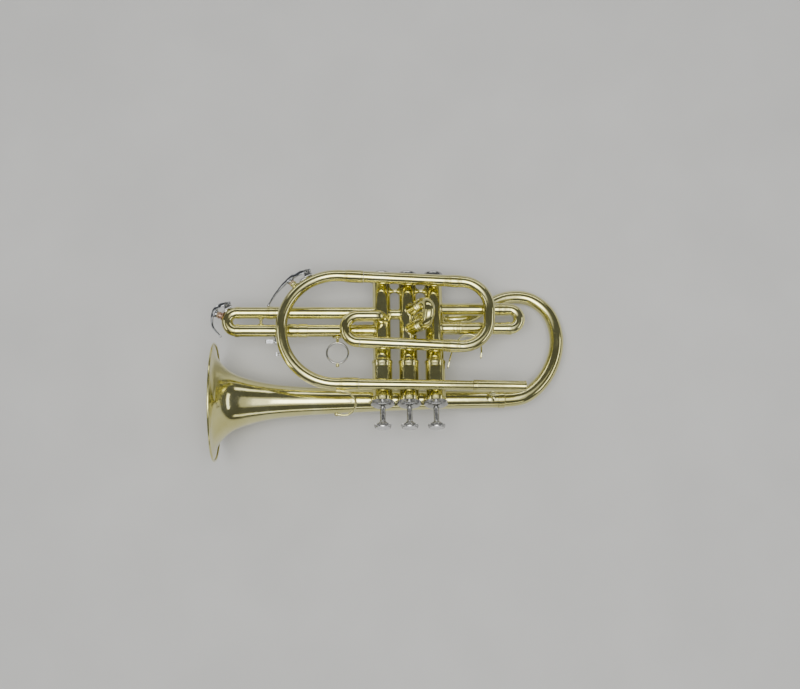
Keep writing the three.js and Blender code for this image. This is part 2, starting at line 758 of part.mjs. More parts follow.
// A strip of sheet bent along a curve in the X-Y plane, as wide as it is given in Z.
function strip(points, thickness, width, steps) {
  const curve = new THREE.CatmullRomCurve3(points.map(([x, y]) => new THREE.Vector3(x, y, 0)));
  const oneSide = [];
  const otherSide = [];
  for (let i = 0; i <= steps; i++) {
    const point = curve.getPointAt(i / steps);
    const tangent = curve.getTangentAt(i / steps);
    const offset = new THREE.Vector2(-tangent.y, tangent.x).multiplyScalar(thickness / 2);
    oneSide.push(new THREE.Vector2(point.x + offset.x, point.y + offset.y));
    otherSide.unshift(new THREE.Vector2(point.x - offset.x, point.y - offset.y));
  }
  const shape = new THREE.Shape([...oneSide, ...otherSide]);
  const geometry = new THREE.ExtrudeGeometry(shape, { depth: width, bevelEnabled: false });
  return geometry.translate(0, 0, -width / 2);
}

function addThumbSaddle() {
  const base = FIRST_SLIDE.high + SLIDE_RADIUS + GAP + 1.4;
  const points = [
    [39, 24.5],
    [43.4, 8.5],
    [50, -4],
    [57, base],
    [64, base],
    [70.5, -5],
    [73, 4],
    [72.4, 14.5],
  ];
  part('thumb_saddle', strip(points, 1.6, 9, 24), brass);
}

function addFingerRing() {
  const [x, y, radius, wire] = [-70.7, 8.9, 10.6, 0.9];
  const hoop = new THREE.TorusGeometry(radius, wire, 6, 20).translate(x, y, 0);
  const bottom = THIRD_SLIDE.high + SLIDE_RADIUS + GAP;
  const foot = bar([x, bottom, 0], [x, y - radius, 0], 1.8);
  const base = block(9, 1.2, 4.4, x, bottom + 0.6, 0);
  const lug = bar([x, y + radius, 0], [x, y + radius + 3, 0], 1.9);
  part('finger_ring', join(hoop, foot, base, lug), brass);
}

function addSlideStop() {
  const bottom = THIRD_SLIDE.high + SLIDE_RADIUS + GAP;
  const body = block(5, 7.4, 5, -130.5, bottom + 3.7, 0);
  const screw = bar([-142, -3.1, 0], [-131, -3.1, 0], 1.9);
  part('slide_stop_screw', join(body, screw), chrome);
}

function addFingerHook() {
  const points = [
    [-72, 52.4, -18],
    [-64, 53.3, -19],
    [-57.7, 56.2, -20],
    [-53.6, 62, -20],
    [-53.2, 67, -20],
    [-55.9, 72.8, -20],
    [-60.7, 76.4, -20],
    [-65.5, 77, -20],
    [-71, 75.9, -20],
  ];
  const wire = rod(smoothRoute(points, 10), 1.1, { sides: 6 });
  part('finger_hook', join(wire, ball(2, -71.5, 75.8, -20), ball(1.7, -72, 52.6, -18)), brass);
}

function addLyreHolder() {
  const z = LEADPIPE_SIDE + TUBE_RADIUS + GAP;
  const body = block(7, 8, 7, -119.5, 12.4, z + 3.5);
  const screw = bar([-131, 12.4, z + 3.5], [-120, 12.4, z + 3.5], 1);
  part('lyre_holder', join(body, screw, bar([-131.5, 12.4, z + 3.5], [-129.5, 12.4, z + 3.5], 1.8)), chrome);
}

function addReceiverBrace() {
  const x = 83;
  const low = [x, 47.5, LEADPIPE_SIDE + 6.1 + GAP];
  const high = [x, 51, BELL_SIDE - 8.6 - GAP];
  const along = (share) => low.map((value, i) => THREE.MathUtils.lerp(value, high[i], share));
  const post = bar(low, high, 1.9);
  const flanges = [bar(low, along(0.06), 5), bar(along(0.94), high, 5)];
  part('receiver_brace', join(post, ...flanges, ball(3.4, ...along(0.5))), brass);
}

addThumbSaddle();
addFingerRing();
addSlideStop();
addFingerHook();
addLyreHolder();
addReceiverBrace();

// ---- water keys ----

const PIN_RADIUS = 0.9;
const PIN_BORE = PIN_RADIUS / Math.cos(Math.PI / 8) + RUNNING; // its flats clear the pin's corners

// A key on the outside of a bow, hinged at one end, its cork on the nipple, its tip lifted to open it.
// Angles are degrees round the bow's centre; lever points are [angle, height above the tube].
function addWaterKey(name, { centre, surface, z, pivot, nipple, lever, seatMaterial }) {
  const at = (degrees, height) => {
    const angle = THREE.MathUtils.degToRad(degrees);
    const reach = surface + height;
    return [centre[0] + reach * Math.cos(angle), centre[1] + reach * Math.sin(angle), z];
  };
  const shift = ([x, y, depth], dz) => [x, y, depth + dz];
  const hinge = at(pivot, 5);

  const pin = bar(shift(hinge, -4.9), shift(hinge, 4.9), PIN_RADIUS);
  const posts = [-4.2, 4.2].map((dz) => bar(shift(at(pivot, 0.6), dz), shift(at(pivot, 6.8), dz), 1.1));
  const crosspiece = bar(shift(at(pivot, 1.4), -4.8), shift(at(pivot, 1.4), 4.8), 0.9);
  const middle = (pivot + nipple) / 2;
  const strap = rod(smoothRoute([at(pivot, 1.4), at(middle, 1.4), at(nipple, 1.4)], 4), 0.9);
  const tower = bar(at(nipple, 0.4), at(nipple, 3.8), 3, SIDES);
  const bore = bar(at(nipple, -1), at(nipple, 5), 1.4);
  part(`${name}_seat`, cut(join(crosspiece, pin, ...posts, strap, tower), bore), seatMaterial);
  part(`${name}_cork`, bar(at(nipple, 4), at(nipple, 5.6), 3.1, SIDES), cork);

  const barrel = bar(shift(hinge, -2.9), shift(hinge, 2.9), 2.1);
  const barrelBore = bar(shift(hinge, -4), shift(hinge, 4), PIN_BORE);
  const spine = [hinge, ...lever.map(([angle, height]) => at(angle, height))];
  const arm = rod(smoothRoute(spine, 9), 1.2, { sides: 6 });
  const cup = bar(at(nipple, 5.8), at(nipple, 9), 3.5, SIDES);
  const tip = ball(2.1, ...at(...lever.at(-1)));
  part(`${name}_lever`, cut(join(barrel, arm, cup, tip), barrelBore), chrome);
}

addWaterKey('bow_key', {
  centre: BOW_CENTRE,
  surface: BOW_RADIUS + TUBE_RADIUS,
  z: LEADPIPE_SIDE,
  pivot: 241.6,
  nipple: 226.4,
  lever: [[236, 8.6], [226.4, 9.2], [212, 10], [199.6, 11.2]],
  seatMaterial: brass,
});
addWaterKey('slide_key', {
  centre: [THIRD_SLIDE.bend, (THIRD_SLIDE.low + THIRD_SLIDE.high) / 2],
  surface: (THIRD_SLIDE.high - THIRD_SLIDE.low) / 2 + TUBE_RADIUS,
  z: 0,
  pivot: 238,
  nipple: 202,
  lever: [[222, 9.6], [202, 9.9], [170, 9], [136, 6.6]],
  seatMaterial: copper,
});

// ---- at rest ----

// Laid on its left side, with the bell rim and the crook on the ground under the origin.
const rolled = new THREE.Group();
rolled.rotation.x = Math.PI - ROLL;
rolled.add(instrument);
const pitched = new THREE.Group();
pitched.rotation.y = PITCH;
pitched.add(rolled);
group.add(pitched);
const box = new THREE.Box3().setFromObject(group, true);
pitched.position.set(-(box.min.x + box.max.x) / 2, -(box.min.y + box.max.y) / 2, -box.min.z);

export default group;
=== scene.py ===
"""The finished look of a B-flat cornet with a shepherd's crook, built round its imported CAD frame.

Every piece is made in the instrument's own frame, in millimetres: X runs from the bell towards the
player, Y from the bottom caps up to the finger buttons and Z from the leadpipe side across to the
bell side, with the origin on the middle valve's axis. TO_ROW turns that into the frame of the scene.
"""

import bisect
import json
import math

import bmesh
import bpy
from mathutils import Matrix, Quaternion, Vector


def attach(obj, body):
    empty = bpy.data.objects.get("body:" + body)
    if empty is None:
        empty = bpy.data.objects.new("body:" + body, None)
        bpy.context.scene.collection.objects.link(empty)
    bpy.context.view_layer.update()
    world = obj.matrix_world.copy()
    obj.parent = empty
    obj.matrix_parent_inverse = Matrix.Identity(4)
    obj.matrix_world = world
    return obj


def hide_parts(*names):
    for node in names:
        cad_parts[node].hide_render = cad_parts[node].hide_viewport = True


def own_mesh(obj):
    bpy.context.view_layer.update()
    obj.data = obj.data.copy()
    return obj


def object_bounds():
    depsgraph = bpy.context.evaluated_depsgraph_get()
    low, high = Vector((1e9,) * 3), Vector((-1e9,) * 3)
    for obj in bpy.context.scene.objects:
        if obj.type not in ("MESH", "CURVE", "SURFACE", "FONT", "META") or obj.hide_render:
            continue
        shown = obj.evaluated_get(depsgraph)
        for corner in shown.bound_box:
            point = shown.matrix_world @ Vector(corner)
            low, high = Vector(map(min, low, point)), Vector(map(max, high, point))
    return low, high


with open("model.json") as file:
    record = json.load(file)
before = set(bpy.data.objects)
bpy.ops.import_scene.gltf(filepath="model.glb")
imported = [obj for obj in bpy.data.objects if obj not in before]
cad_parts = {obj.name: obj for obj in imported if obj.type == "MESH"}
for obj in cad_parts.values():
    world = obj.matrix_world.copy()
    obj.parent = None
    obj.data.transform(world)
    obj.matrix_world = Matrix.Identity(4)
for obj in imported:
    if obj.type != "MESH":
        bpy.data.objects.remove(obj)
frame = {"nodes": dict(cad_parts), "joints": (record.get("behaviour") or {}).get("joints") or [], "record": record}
LOW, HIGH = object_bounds()

# ---- the instrument's frame, from the joints and a mount ----

MM = 0.001
BOTTOM_FACE = -76.0  # height of the bottom caps' faces

joints = {joint["name"]: joint for joint in frame["joints"]}
mounts = {mount["name"]: mount for mount in frame["record"]["mounts"]}
bodies = frame["record"]["behaviour"]["bodies"]
BODY_OF = {node: body for body, members in bodies.items() for node in members}

AXIS_X = Vector(joints["first_slide_draw"]["axis"]).normalized()
AXIS_Y = -Vector(joints["valve_1_press"]["axis"]).normalized()
AXIS_Z = AXIS_X.cross(AXIS_Y)
ORIGIN = Vector(mounts["bottom_cap_face_2"]["pos_m"]) - AXIS_Y * BOTTOM_FACE * MM
TURN = Matrix((AXIS_X, AXIS_Y, AXIS_Z)).transposed().to_4x4()
TO_ROW = Matrix.Translation(ORIGIN) @ TURN @ Matrix.Scale(MM, 4)

X, Y, Z = Vector((1, 0, 0)), Vector((0, 1, 0)), Vector((0, 0, 1))

# ---- driving dimensions, as the CAD has them ----

SIDES = 56
WALL = 0.5
RUNNING = 0.05
CASING_RADIUS = 9.1
BARREL_RADIUS = 10.0
PISTON_BORE = 8.4
CASING_BOTTOM, CASING_STEP, CASING_TOP = -69.0, 19.0, 62.0
CAP_SEAT = -69.3  # height of the floor inside a bottom cap
CAP_CEILING = 62.3
SPRING_SEAT, SPRING_TOP, VALVE_TRAVEL = 22.3, 54.3, 14.0
STEM_RADIUS, STEM_BOTTOM, PLATE_BOTTOM, PLATE_TOP = 2.75, 55.1, 58.4, 60.1
BUTTON_BASE = 79.4
VALVE_X = {1: 26.3, 2: 0.0, 3: -26.3}
PASSAGE_HEIGHT, STAY_HEIGHT = -31.6, -56.6
TUBE_RADIUS = 5.85
SLIDE_RADIUS = 6.2
LEG_RADIUS = TUBE_RADIUS - WALL - RUNNING
SLEEVE_BORE = LEG_RADIUS + RUNNING
LEG_BORE = LEG_RADIUS - 0.45
LEADPIPE_SIDE, BELL_SIDE = -17.5, 23.2
BELL_RIM_X, BELL_LENGTH = -194.0, 285.0
BELL_LINE = ((BELL_RIM_X, 53.0), (93.0, 50.9))  # (x, y) at the rim and where the crook begins
LEADPIPE_LINE = ((-64.3, 45.2), (113.5, 47.9))  # (x, y) at the front bow and at the receiver's rim
TAIL_HEIGHT = -33.4
BOW_END = -50.0
RECEIVER_START, RECEIVER_END = 61.7, 113.4
BOW_CENTRE = (-70.0, -10.6)
BOW_RADIUS = 55.8
TUNING_SLOPE = math.radians(2.7)
TUNING_HALF_SPAN = 34.0
TUNING_JOINT = (38.8, -27.4)
TUNING_BEND = 28.0
FIRST_SLIDE = {"low": -37.1, "high": -16.9, "joint": 92.6, "collar": 51.6, "bend": 102.7}
SECOND_SLIDE = {"low": -34.2, "high": -14.2, "joint": 22.0, "bend": 30.0}
THIRD_SLIDE = {"low": -33.0, "high": -14.3, "joint": -132.5, "collar": -52.0, "bend": -171.0}
SECOND_WAY = Quaternion(Y, math.radians(62)) @ X  # the second slide points right and forward

# ---- materials ----


def instrument_coordinates():
    """A node group giving the instrument's own coordinates in millimetres, for every texture."""
    group = bpy.data.node_groups.new("instrument_millimetres", "ShaderNodeTree")
    group.interface.new_socket("Vector", in_out="OUTPUT", socket_type="NodeSocketVector")
    nodes, links = group.nodes, group.links
    place = nodes.new("ShaderNodeTexCoord")
    local = nodes.new("ShaderNodeVectorMath")
    local.operation = "SUBTRACT"
    local.inputs[1].default_value = ORIGIN
    links.new(place.outputs["Object"], local.inputs[0])
    combined = nodes.new("ShaderNodeCombineXYZ")
    for index, axis in enumerate((AXIS_X, AXIS_Y, AXIS_Z)):
        along = nodes.new("ShaderNodeVectorMath")
        along.operation = "DOT_PRODUCT"
        along.inputs[1].default_value = axis / MM
        links.new(local.outputs["Vector"], along.inputs[0])
        links.new(along.outputs["Value"], combined.inputs[index])
    result = nodes.new("NodeGroupOutput")
    links.new(combined.outputs["Vector"], result.inputs["Vector"])
    return group


COORDINATES = instrument_coordinates()


class Look:
    """A Principled material, with a short call for each texture node that it is made of."""

    def __init__(self, name, **constants):
        self.material = bpy.data.materials.new(name)
        self.material.use_nodes = True
        self.nodes = self.material.node_tree.nodes
        self.links = self.material.node_tree.links
        self.shader = self.nodes["Principled BSDF"]
        for socket, value in constants.items():
            self.shader.inputs[socket.replace("_", " ")].default_value = value
        group = self.nodes.new("ShaderNodeGroup")
        group.node_tree = COORDINATES
        self.place = group.outputs["Vector"]

    def add(self, kind, inputs, output, **settings):
        """A new node's output. Each of its inputs is given a constant or another node's output."""
        node = self.nodes.new(kind)
        for name, value in settings.items():
            setattr(node, name, value)
        for socket, value in inputs.items():
            if isinstance(value, bpy.types.NodeSocket):
                self.links.new(value, node.inputs[socket])
            else:
                node.inputs[socket].default_value = value
        return node.outputs[output]

    def stretched(self, scale):
        return self.add("ShaderNodeMapping", {"Vector": self.place, "Scale": scale}, "Vector")

    def noise(self, scale, detail=3.0, distortion=0.0):
        """Noise from 0 to 1. Scale is per millimetre, along each of the instrument's axes."""
        inputs = {"Vector": self.stretched(scale), "Scale": 1, "Detail": detail, "Distortion": distortion}
        return self.add("ShaderNodeTexNoise", inputs, "Fac")

    def cells(self, scale, feature="F1"):
        inputs = {"Vector": self.stretched(scale), "Scale": 1}
        return self.add("ShaderNodeTexVoronoi", inputs, "Distance", feature=feature)

    def remap(self, value, start, end, low, high):
        inputs = {"Value": value, "From Min": start, "From Max": end, "To Min": low, "To Max": high}
        return self.add("ShaderNodeMapRange", inputs, "Result")

    def product(self, first, second):
        return self.add("ShaderNodeMath", {0: first, 1: second}, "Value", operation="MULTIPLY")

    def ramp(self, factor, *stops):
        """A colour ramp. Each stop is (position, (red, green, blue))."""
        node = self.nodes.new("ShaderNodeValToRGB")
        elements = node.color_ramp.elements
        while len(elements) < len(stops):
            elements.new(0.5)
        for element, (position, colour) in zip(elements, stops):
            element.position = position
            element.color = (*colour, 1)
        self.links.new(factor, node.inputs["Fac"])
        return node.outputs["Color"]

    def stained(self, colour, amount, stain):
        inputs = {"Factor": amount, "A": colour, "B": (*stain, 1)}
        return self.add("ShaderNodeMix", inputs, "Result", data_type="RGBA")

    def bump(self, height, depth, under=None):
        """Relief of that depth in millimetres, on top of another bump."""
        inputs = {"Height": height, "Distance": depth * MM}
        if under is not None:
            inputs["Normal"] = under
        return self.add("ShaderNodeBump", inputs, "Normal")

    def finished(self, colour, roughness, normal):
        for socket, value in (("Base Color", colour), ("Roughness", roughness), ("Normal", normal)):
            self.links.new(value, self.shader.inputs[socket])
        return self.material


def same(scale):
    return (scale, scale, scale)


def brass():
    """Polished yellow brass under clear lacquer: slow drifts of tone, smears, hairlines and a few spots."""
    look = Look("lacquered_brass", Metallic=1.0, Coat_Weight=0.35, Coat_Roughness=0.04)
    browner, middle, paler = (0.62, 0.575, 0.22), (0.70, 0.66, 0.285), (0.77, 0.74, 0.37)
    tone = look.ramp(look.noise(same(0.028), 4, 0.6), (0.3, browner), (0.5, middle), (0.7, paler))
    spots = look.remap(look.noise(same(0.55), 6), 0.66, 0.74, 0.0, 0.4)
    colour = look.stained(tone, spots, (0.36, 0.27, 0.11))
    smears = look.product(look.noise(same(0.11), 3, 1.2), look.noise((0.5, 0.9, 0.9), 5))
    roughness = look.remap(smears, 0.16, 0.38, 0.08, 0.19)
    wavy = look.bump(look.noise(same(0.09), 2), 0.07)
    hairlines = look.bump(look.noise((0.5, 9.0, 9.0), 3), 0.0035, wavy)
    crossing = look.bump(look.noise((7.0, 0.4, 7.0), 2), 0.0025, hairlines)
    return look.finished(colour, roughness, crossing)


def nickel():
    """Satin nickel plate, warm grey darkened as painted reflection, with the fine rings that turning leaves round
    the valves' axes.
    """
    look = Look("satin_nickel", Metallic=1.0, Coat_Weight=0.1, Coat_Roughness=0.1)
    # These tones are darker than bare nickel: a painted reflection of dark surroundings.
    dark, middle, light = (0.36, 0.36, 0.35), (0.47, 0.47, 0.455), (0.57, 0.57, 0.55)
    tone = look.ramp(look.noise(same(0.16), 4, 0.4), (0.3, dark), (0.6, middle), (0.8, light))
    grime = look.remap(look.noise(same(0.8), 5), 0.6, 0.74, 0.0, 0.3)
    colour = look.stained(tone, grime, (0.2, 0.19, 0.17))
    roughness = look.remap(look.noise(same(0.4), 4), 0.3, 0.7, 0.15, 0.27)
    rings = look.bump(look.noise((0.02, 7.0, 0.02), 2), 0.004)
    scuffs = look.bump(look.noise((1.5, 6.0, 1.5), 4), 0.002, rings)
    return look.finished(colour, roughness, scuffs)


def chrome():
    """Bright plate on the water keys and screws, cooler than the nickel, its grey darkened as painted reflection,
    dulled in places by handling.
    """
    look = Look("bright_chrome", Metallic=1.0, Coat_Weight=0.2, Coat_Roughness=0.03)
    # The grey is kept darker than bare chrome: a painted reflection of dark surroundings.
    tone = look.ramp(look.noise(same(0.3), 3), (0.35, (0.40, 0.41, 0.42)), (0.65, (0.56, 0.57, 0.58)))
    pits = look.remap(look.cells(same(1.1)), 0.05, 0.16, 0.5, 0.0)
    colour = look.stained(tone, pits, (0.2, 0.2, 0.19))
    roughness = look.remap(look.noise(same(0.7), 4), 0.35, 0.7, 0.06, 0.18)
    relief = look.bump(look.noise(same(1.3), 3), 0.008)
    return look.finished(colour, roughness, relief)


def copper():
    """Bare red brass whose lacquer has gone, browned in patches."""
    look = Look("worn_copper", Metallic=1.0)
    brown, middle, bare = (0.36, 0.21, 0.14), (0.54, 0.35, 0.25), (0.66, 0.47, 0.35)
    tone = look.ramp(look.noise(same(0.5), 5), (0.3, brown), (0.55, middle), (0.75, bare))
    roughness = look.remap(look.noise(same(0.9), 5), 0.3, 0.7, 0.2, 0.45)
    relief = look.bump(look.noise(same(2.2), 4), 0.02)
    return look.finished(tone, roughness, relief)


def steel():
    """Grey spring wire, with draw marks."""
    look = Look("spring_wire", Metallic=1.0)
    tone = look.ramp(look.noise(same(0.6), 4), (0.3, (0.30, 0.30, 0.31)), (0.7, (0.52, 0.52, 0.53)))
    roughness = look.remap(look.noise(same(1.2), 3), 0.3, 0.7, 0.22, 0.4)
    relief = look.bump(look.noise((3.0, 3.0, 9.0), 3), 0.008)
    return look.finished(tone, roughness, relief)


def pearl():
    """Grey mother of pearl: cloudy swirls with a faint green and rose in them, under a hard gloss."""
    look = Look("grey_pearl", Coat_Weight=0.9, Coat_Roughness=0.05, Specular_IOR_Level=0.6)
    swirl = look.noise(same(0.45), 5, 2.4)
    tone = look.ramp(
        swirl,
        (0.25, (0.38, 0.38, 0.38)),
        (0.42, (0.50, 0.51, 0.49)),
        (0.55, (0.60, 0.585, 0.58)),
        (0.75, (0.70, 0.71, 0.70)),
    )
    veins = look.remap(look.noise(same(1.6), 3, 1.5), 0.62, 0.74, 0.0, 0.3)
    colour = look.stained(tone, veins, (0.27, 0.28, 0.27))
    roughness = look.remap(swirl, 0.3, 0.7, 0.16, 0.3)
    relief = look.bump(look.noise(same(0.9), 3), 0.015)
    return look.finished(colour, roughness, relief)


def cork():
    """Pad cork: a warm grain of small cells with dark pores."""
    look = Look("pad_cork", Sheen_Weight=0.15, Sheen_Roughness=0.5)
    grain = look.noise(same(1.4), 6)
    dark, middle, light = (0.24, 0.16, 0.09), (0.40, 0.29, 0.18), (0.52, 0.40, 0.27)
    tone = look.ramp(grain, (0.3, dark), (0.5, middle), (0.7, light))
    pores = look.remap(look.cells(same(1.9)), 0.1, 0.28, 0.85, 0.0)
    colour = look.stained(tone, pores, (0.12, 0.06, 0.03))
    roughness = look.remap(grain, 0.3, 0.7, 0.75, 0.95)
    relief = look.bump(look.cells(same(2.4), "SMOOTH_F1"), 0.12, look.bump(grain, 0.06))
    return look.finished(colour, roughness, relief)


def felt():
    """Pressed wool felt, dark red, with loose fibres over a soft lumpy ground."""
    look = Look("pressed_felt", Sheen_Weight=0.6, Sheen_Roughness=0.6)
    fibres = look.noise((5.0, 1.6, 5.0), 5, 2.0)
    dark, middle, light = (0.16, 0.03, 0.03), (0.33, 0.07, 0.06), (0.47, 0.15, 0.12)
    tone = look.ramp(fibres, (0.3, dark), (0.55, middle), (0.8, light))
    roughness = look.remap(fibres, 0.3, 0.7, 0.88, 1.0)
    relief = look.bump(fibres, 0.1, look.bump(look.noise(same(0.8), 3), 0.15))
    return look.finished(tone, roughness, relief)


# Each finish with the record's slot that it belongs to.
FINISHES = {
    "brass": (brass(), "brass"),
    "nickel": (nickel(), "nickel"),
    "chrome": (chrome(), "chrome"),
    "copper": (copper(), "brass"),
    "steel": (steel(), "spring_steel"),
    "pearl": (pearl(), "pearl"),
    "cork": (cork(), "cork"),
    "felt": (felt(), "felt"),
}

# ---- paths ----

ARC_STEP = math.radians(4)
TOUCHING = 1e-4


class Path:
    """A line through space, kept as close points with their tangents and distances."""

    def __init__(self, points, tangents):
        self.points, self.tangents, self.distances = [points[0]], [tangents[0]], [0.0]
        for point, tangent in zip(points[1:], tangents[1:]):
            step = (point - self.points[-1]).length
            if step < TOUCHING:
                continue
            self.points.append(point)
            self.tangents.append(tangent)
            self.distances.append(self.distances[-1] + step)
        self.length = self.distances[-1]

    def at(self, distance):
        """The point and tangent at a distance. Past its ends the line runs straight on."""
        end = 0 if distance <= 0 else -1
        if not 0 < distance < self.length:
            over = distance - self.distances[end]
            return self.points[end] + self.tangents[end] * over, self.tangents[end]
        i = bisect.bisect_right(self.distances, distance) - 1
        share = (distance - self.distances[i]) / (self.distances[i + 1] - self.distances[i])
        tangent = self.tangents[i].lerp(self.tangents[i + 1], share)
        return self.points[i].lerp(self.points[i + 1], share), tangent.normalized()


def route(*corners):
    """Straight stretches through corners (x, y, z), each inner one bent to the radius that follows."""
    at = [Vector(corner[:3]) for corner in corners]
    points, tangents = [at[0]], [(at[1] - at[0]).normalized()]
    for i in range(1, len(at) - 1):
        radius = corners[i][3]
        into = (at[i] - at[i - 1]).normalized()
        out = (at[i + 1] - at[i]).normalized()
        angle = into.angle(out)
        axis = into.cross(out).normalized()
        start = at[i] - into * radius * math.tan(angle / 2)
        centre = start + axis.cross(into) * radius
        steps = max(2, math.ceil(angle / ARC_STEP))
        for k in range(steps + 1):
            turn = Quaternion(axis, angle * k / steps)
            points.append(centre + turn @ (start - centre))
            tangents.append(turn @ into)
    points.append(at[-1])
    tangents.append((at[-1] - at[-2]).normalized())
    return Path(points, tangents)


def smooth_points(knots, steps):
    """Points and slopes of the centripetal Catmull-Rom curve through knots."""
    at = [Vector(knot) for knot in knots]
    at = [2 * at[0] - at[1], *at, 2 * at[-1] - at[-2]]
    points, slopes = [], []
    for a, b, c, d in zip(at, at[1:], at[2:], at[3:]):
        t0, t1, t2 = (math.sqrt((q - p).length) for p, q in ((a, b), (b, c), (c, d)))
        leave = ((b - a) / t0 - (c - a) / (t0 + t1) + (c - b) / t1) * t1
        arrive = ((c - b) / t1 - (d - b) / (t1 + t2) + (d - c) / t2) * t1
        for k in range(steps + 1):
            t = k / steps
            cubic = 2 * (b - c) + leave + arrive
            square = 3 * (c - b) - 2 * leave - arrive
            points.append(b + leave * t + square * t**2 + cubic * t**3)
            slopes.append((leave + 2 * square * t + 3 * cubic * t**2).normalized())
    return points, slopes


def smooth(*knots, steps=12):
    """A smooth path through knots (x, y, z)."""
    return Path(*smooth_points(knots, steps))


def coil_path(start, axis, spoke, turns, rise, steps):
    """Round an axis through start, from the end of the spoke, climbing as it goes."""
    points, tangents = [], []
    for k in range(steps + 1):
        arm = Quaternion(axis, math.tau * turns * k / steps) @ spoke
        points.append(start + arm + axis * (rise * k / steps))
        tangents.append((axis.cross(arm) * math.tau * turns + axis * rise).normalized())
    return Path(points, tangents)


# ---- outlines: lists of (distance along the path, radius) ----

SOFT_TURN = math.radians(14)
SHARPEST_TURN = math.radians(150)
REPEATED = 0.02


def without_repeats(outline):
    made = [outline[0]]
    for point in outline[1:]:
        if (Vector(point) - Vector(made[-1])).length > REPEATED:
            made.append(point)
    return made


def rounded(outline, radius=0.25, steps=3):
    """The outline with each sharp corner rounded. It closes on itself unless it starts on the axis."""
    points = [Vector(point) for point in without_repeats(outline)]
    solid = outline[0][1] == 0
    made = []
    for i, corner in enumerate(points):
        into, out = corner - points[i - 1], points[(i + 1) % len(points)] - corner
        if (solid and i in (0, len(points) - 1)) or into.angle(out) < SOFT_TURN:
            made.append(corner)
            continue
        reach = radius * math.tan(min(into.angle(out), SHARPEST_TURN) / 2)
        reach = min(reach, 0.45 * into.length, 0.45 * out.length)
        start, end = corner - into.normalized() * reach, corner + out.normalized() * reach
        for k in range(steps + 1):
            t = k / steps
            made.append(start * (1 - t) ** 2 + corner * 2 * t * (1 - t) + end * t**2)
    return [tuple(point) for point in made]


def hollow(outer, inner, radius=0.25):
    return rounded([*outer, *reversed(inner)], radius)


def plain(length, radius):
    return [(0, radius), (length, radius)]


def flared(radius):
    """The start of a tube brazed to a casing, with its fillet."""
    return [(0, radius + 1.1), (0.3, radius + 0.5), (0.8, radius + 0.18), (1.6, radius)]


def band(start, end, radius):
    """A ferrule with a line turned in near each edge."""
    inset, half_width, depth = 1.5, 0.55, 0.5
    points = [(start, radius)]
    for middle in (start + inset, end - inset):
        points += [(middle - half_width, radius), (middle - half_width / 2, radius - depth)]
        points += [(middle + half_width / 2, radius - depth), (middle + half_width, radius)]
    return [*points, (end, radius)]


def mirrored(outline, length):
    return [(length - distance, radius) for distance, radius in reversed(outline)]


def both_ends(half, length, middle=()):
    """An outline that is the same from either end, with what is in its middle."""
    return [*half, *middle, *mirrored(half, length)]


def ball_outline(centre, radius, steps=12):
    """A ball as a solid's whole outline, centred at a distance."""
    angles = [math.pi * k / steps for k in range(steps + 1)]
    middle = [(centre - radius * math.cos(a), radius * math.sin(a)) for a in angles[1:-1]]
    return [(centre - radius, 0), *middle, (centre + radius, 0)]


def rounded_rod(length, radius):
    return rounded([(0, 0), (0, radius), (length, radius), (length, 0)], radius * 0.6)


# ---- solids ----


def divided(loop, marks, margin=0.0):
    """The loop with points added where it passes the marks, which are rising distances.

    A mark closer than the margin to the end of a stretch of the loop adds nothing.
    """
    closing = [] if loop[0][1] == 0 else [loop[0]]
    made = []
    for (start, near), (end, far) in zip(loop, [*loop[1:], *closing]):
        made.append((start, near))
        low, high = min(start, end) + margin, max(start, end) - margin
        passed = [mark for mark in marks if low < mark < high]
        for mark in passed if end > start else reversed(passed):
            share = (mark - start) / (end - start)
            made.append((mark, near + (far - near) * share))
    return made if closing else [*made, loop[-1]]


def ring_frames(path, distances, side):
    """The centre and the two directions across the path at each distance, turning as little as they can."""
    frames = {}
    up = side.copy()
    if abs(path.at(0)[1].dot(up)) > 0.9:
        up = X.copy()
    for distance in sorted(distances):
        centre, tangent = path.at(distance)
        up = (up - tangent * up.dot(tangent)).normalized()
        frames[distance] = centre, tangent.cross(up), up
    return frames


def round_section(distance, radius, angle):
    return radius * math.cos(angle), radius * math.sin(angle)


def skin(mesh, near, far):
    """Faces between two rings of vertices, either of which may be one vertex on the axis."""
    count = max(len(near), len(far))
    for i in range(count):
        j = (i + 1) % count
        if len(near) == 1 and len(far) > 1:
            mesh.faces.new((near[0], far[i], far[j]))
        elif len(far) == 1 and len(near) > 1:
            mesh.faces.new((near[i], far[0], near[j]))
        elif len(near) > 1:
            mesh.faces.new((near[i], far[i], far[j], near[j]))


def sweep(path, loop, sides=SIDES, section=round_section, side=Z):
    """A turned solid bent along a path. section gives the offset for a distance, radius and angle.

    The path's own points are added to the loop, so that every bend is as fine as the path.
    """
    mesh = bmesh.new()
    loop = divided(loop, path.distances, margin=0.05)
    frames = ring_frames(path, {distance for distance, _ in loop}, side)
    rings = []
    for distance, radius in loop:
        centre, across, up = frames[distance]
        if radius == 0:
            rings.append([mesh.verts.new(centre)])
            continue
        offsets = [section(distance, radius, math.tau * i / sides) for i in range(sides)]
        rings.append([mesh.verts.new(centre + across * a + up * b) for a, b in offsets])
    if len(rings[0]) > 1:
        rings.append(rings[0])
    for near, far in zip(rings, rings[1:]):
        skin(mesh, near, far)
    return mesh


def tube(path, outer, bore, rounding=0.15, sides=SIDES):
    """A tube with a plain bore, with its edges rounded."""
    return sweep(path, hollow(outer, plain(path.length, bore), rounding), sides=sides)


def straight(base, direction):
    """A path for turned solids, along which distance is measured from base."""
    base = Vector(base)
    return Path([base, base + direction], [direction, direction])


def turned(base, direction, loop, **options):
    return sweep(straight(base, direction.normalized()), loop, **options)


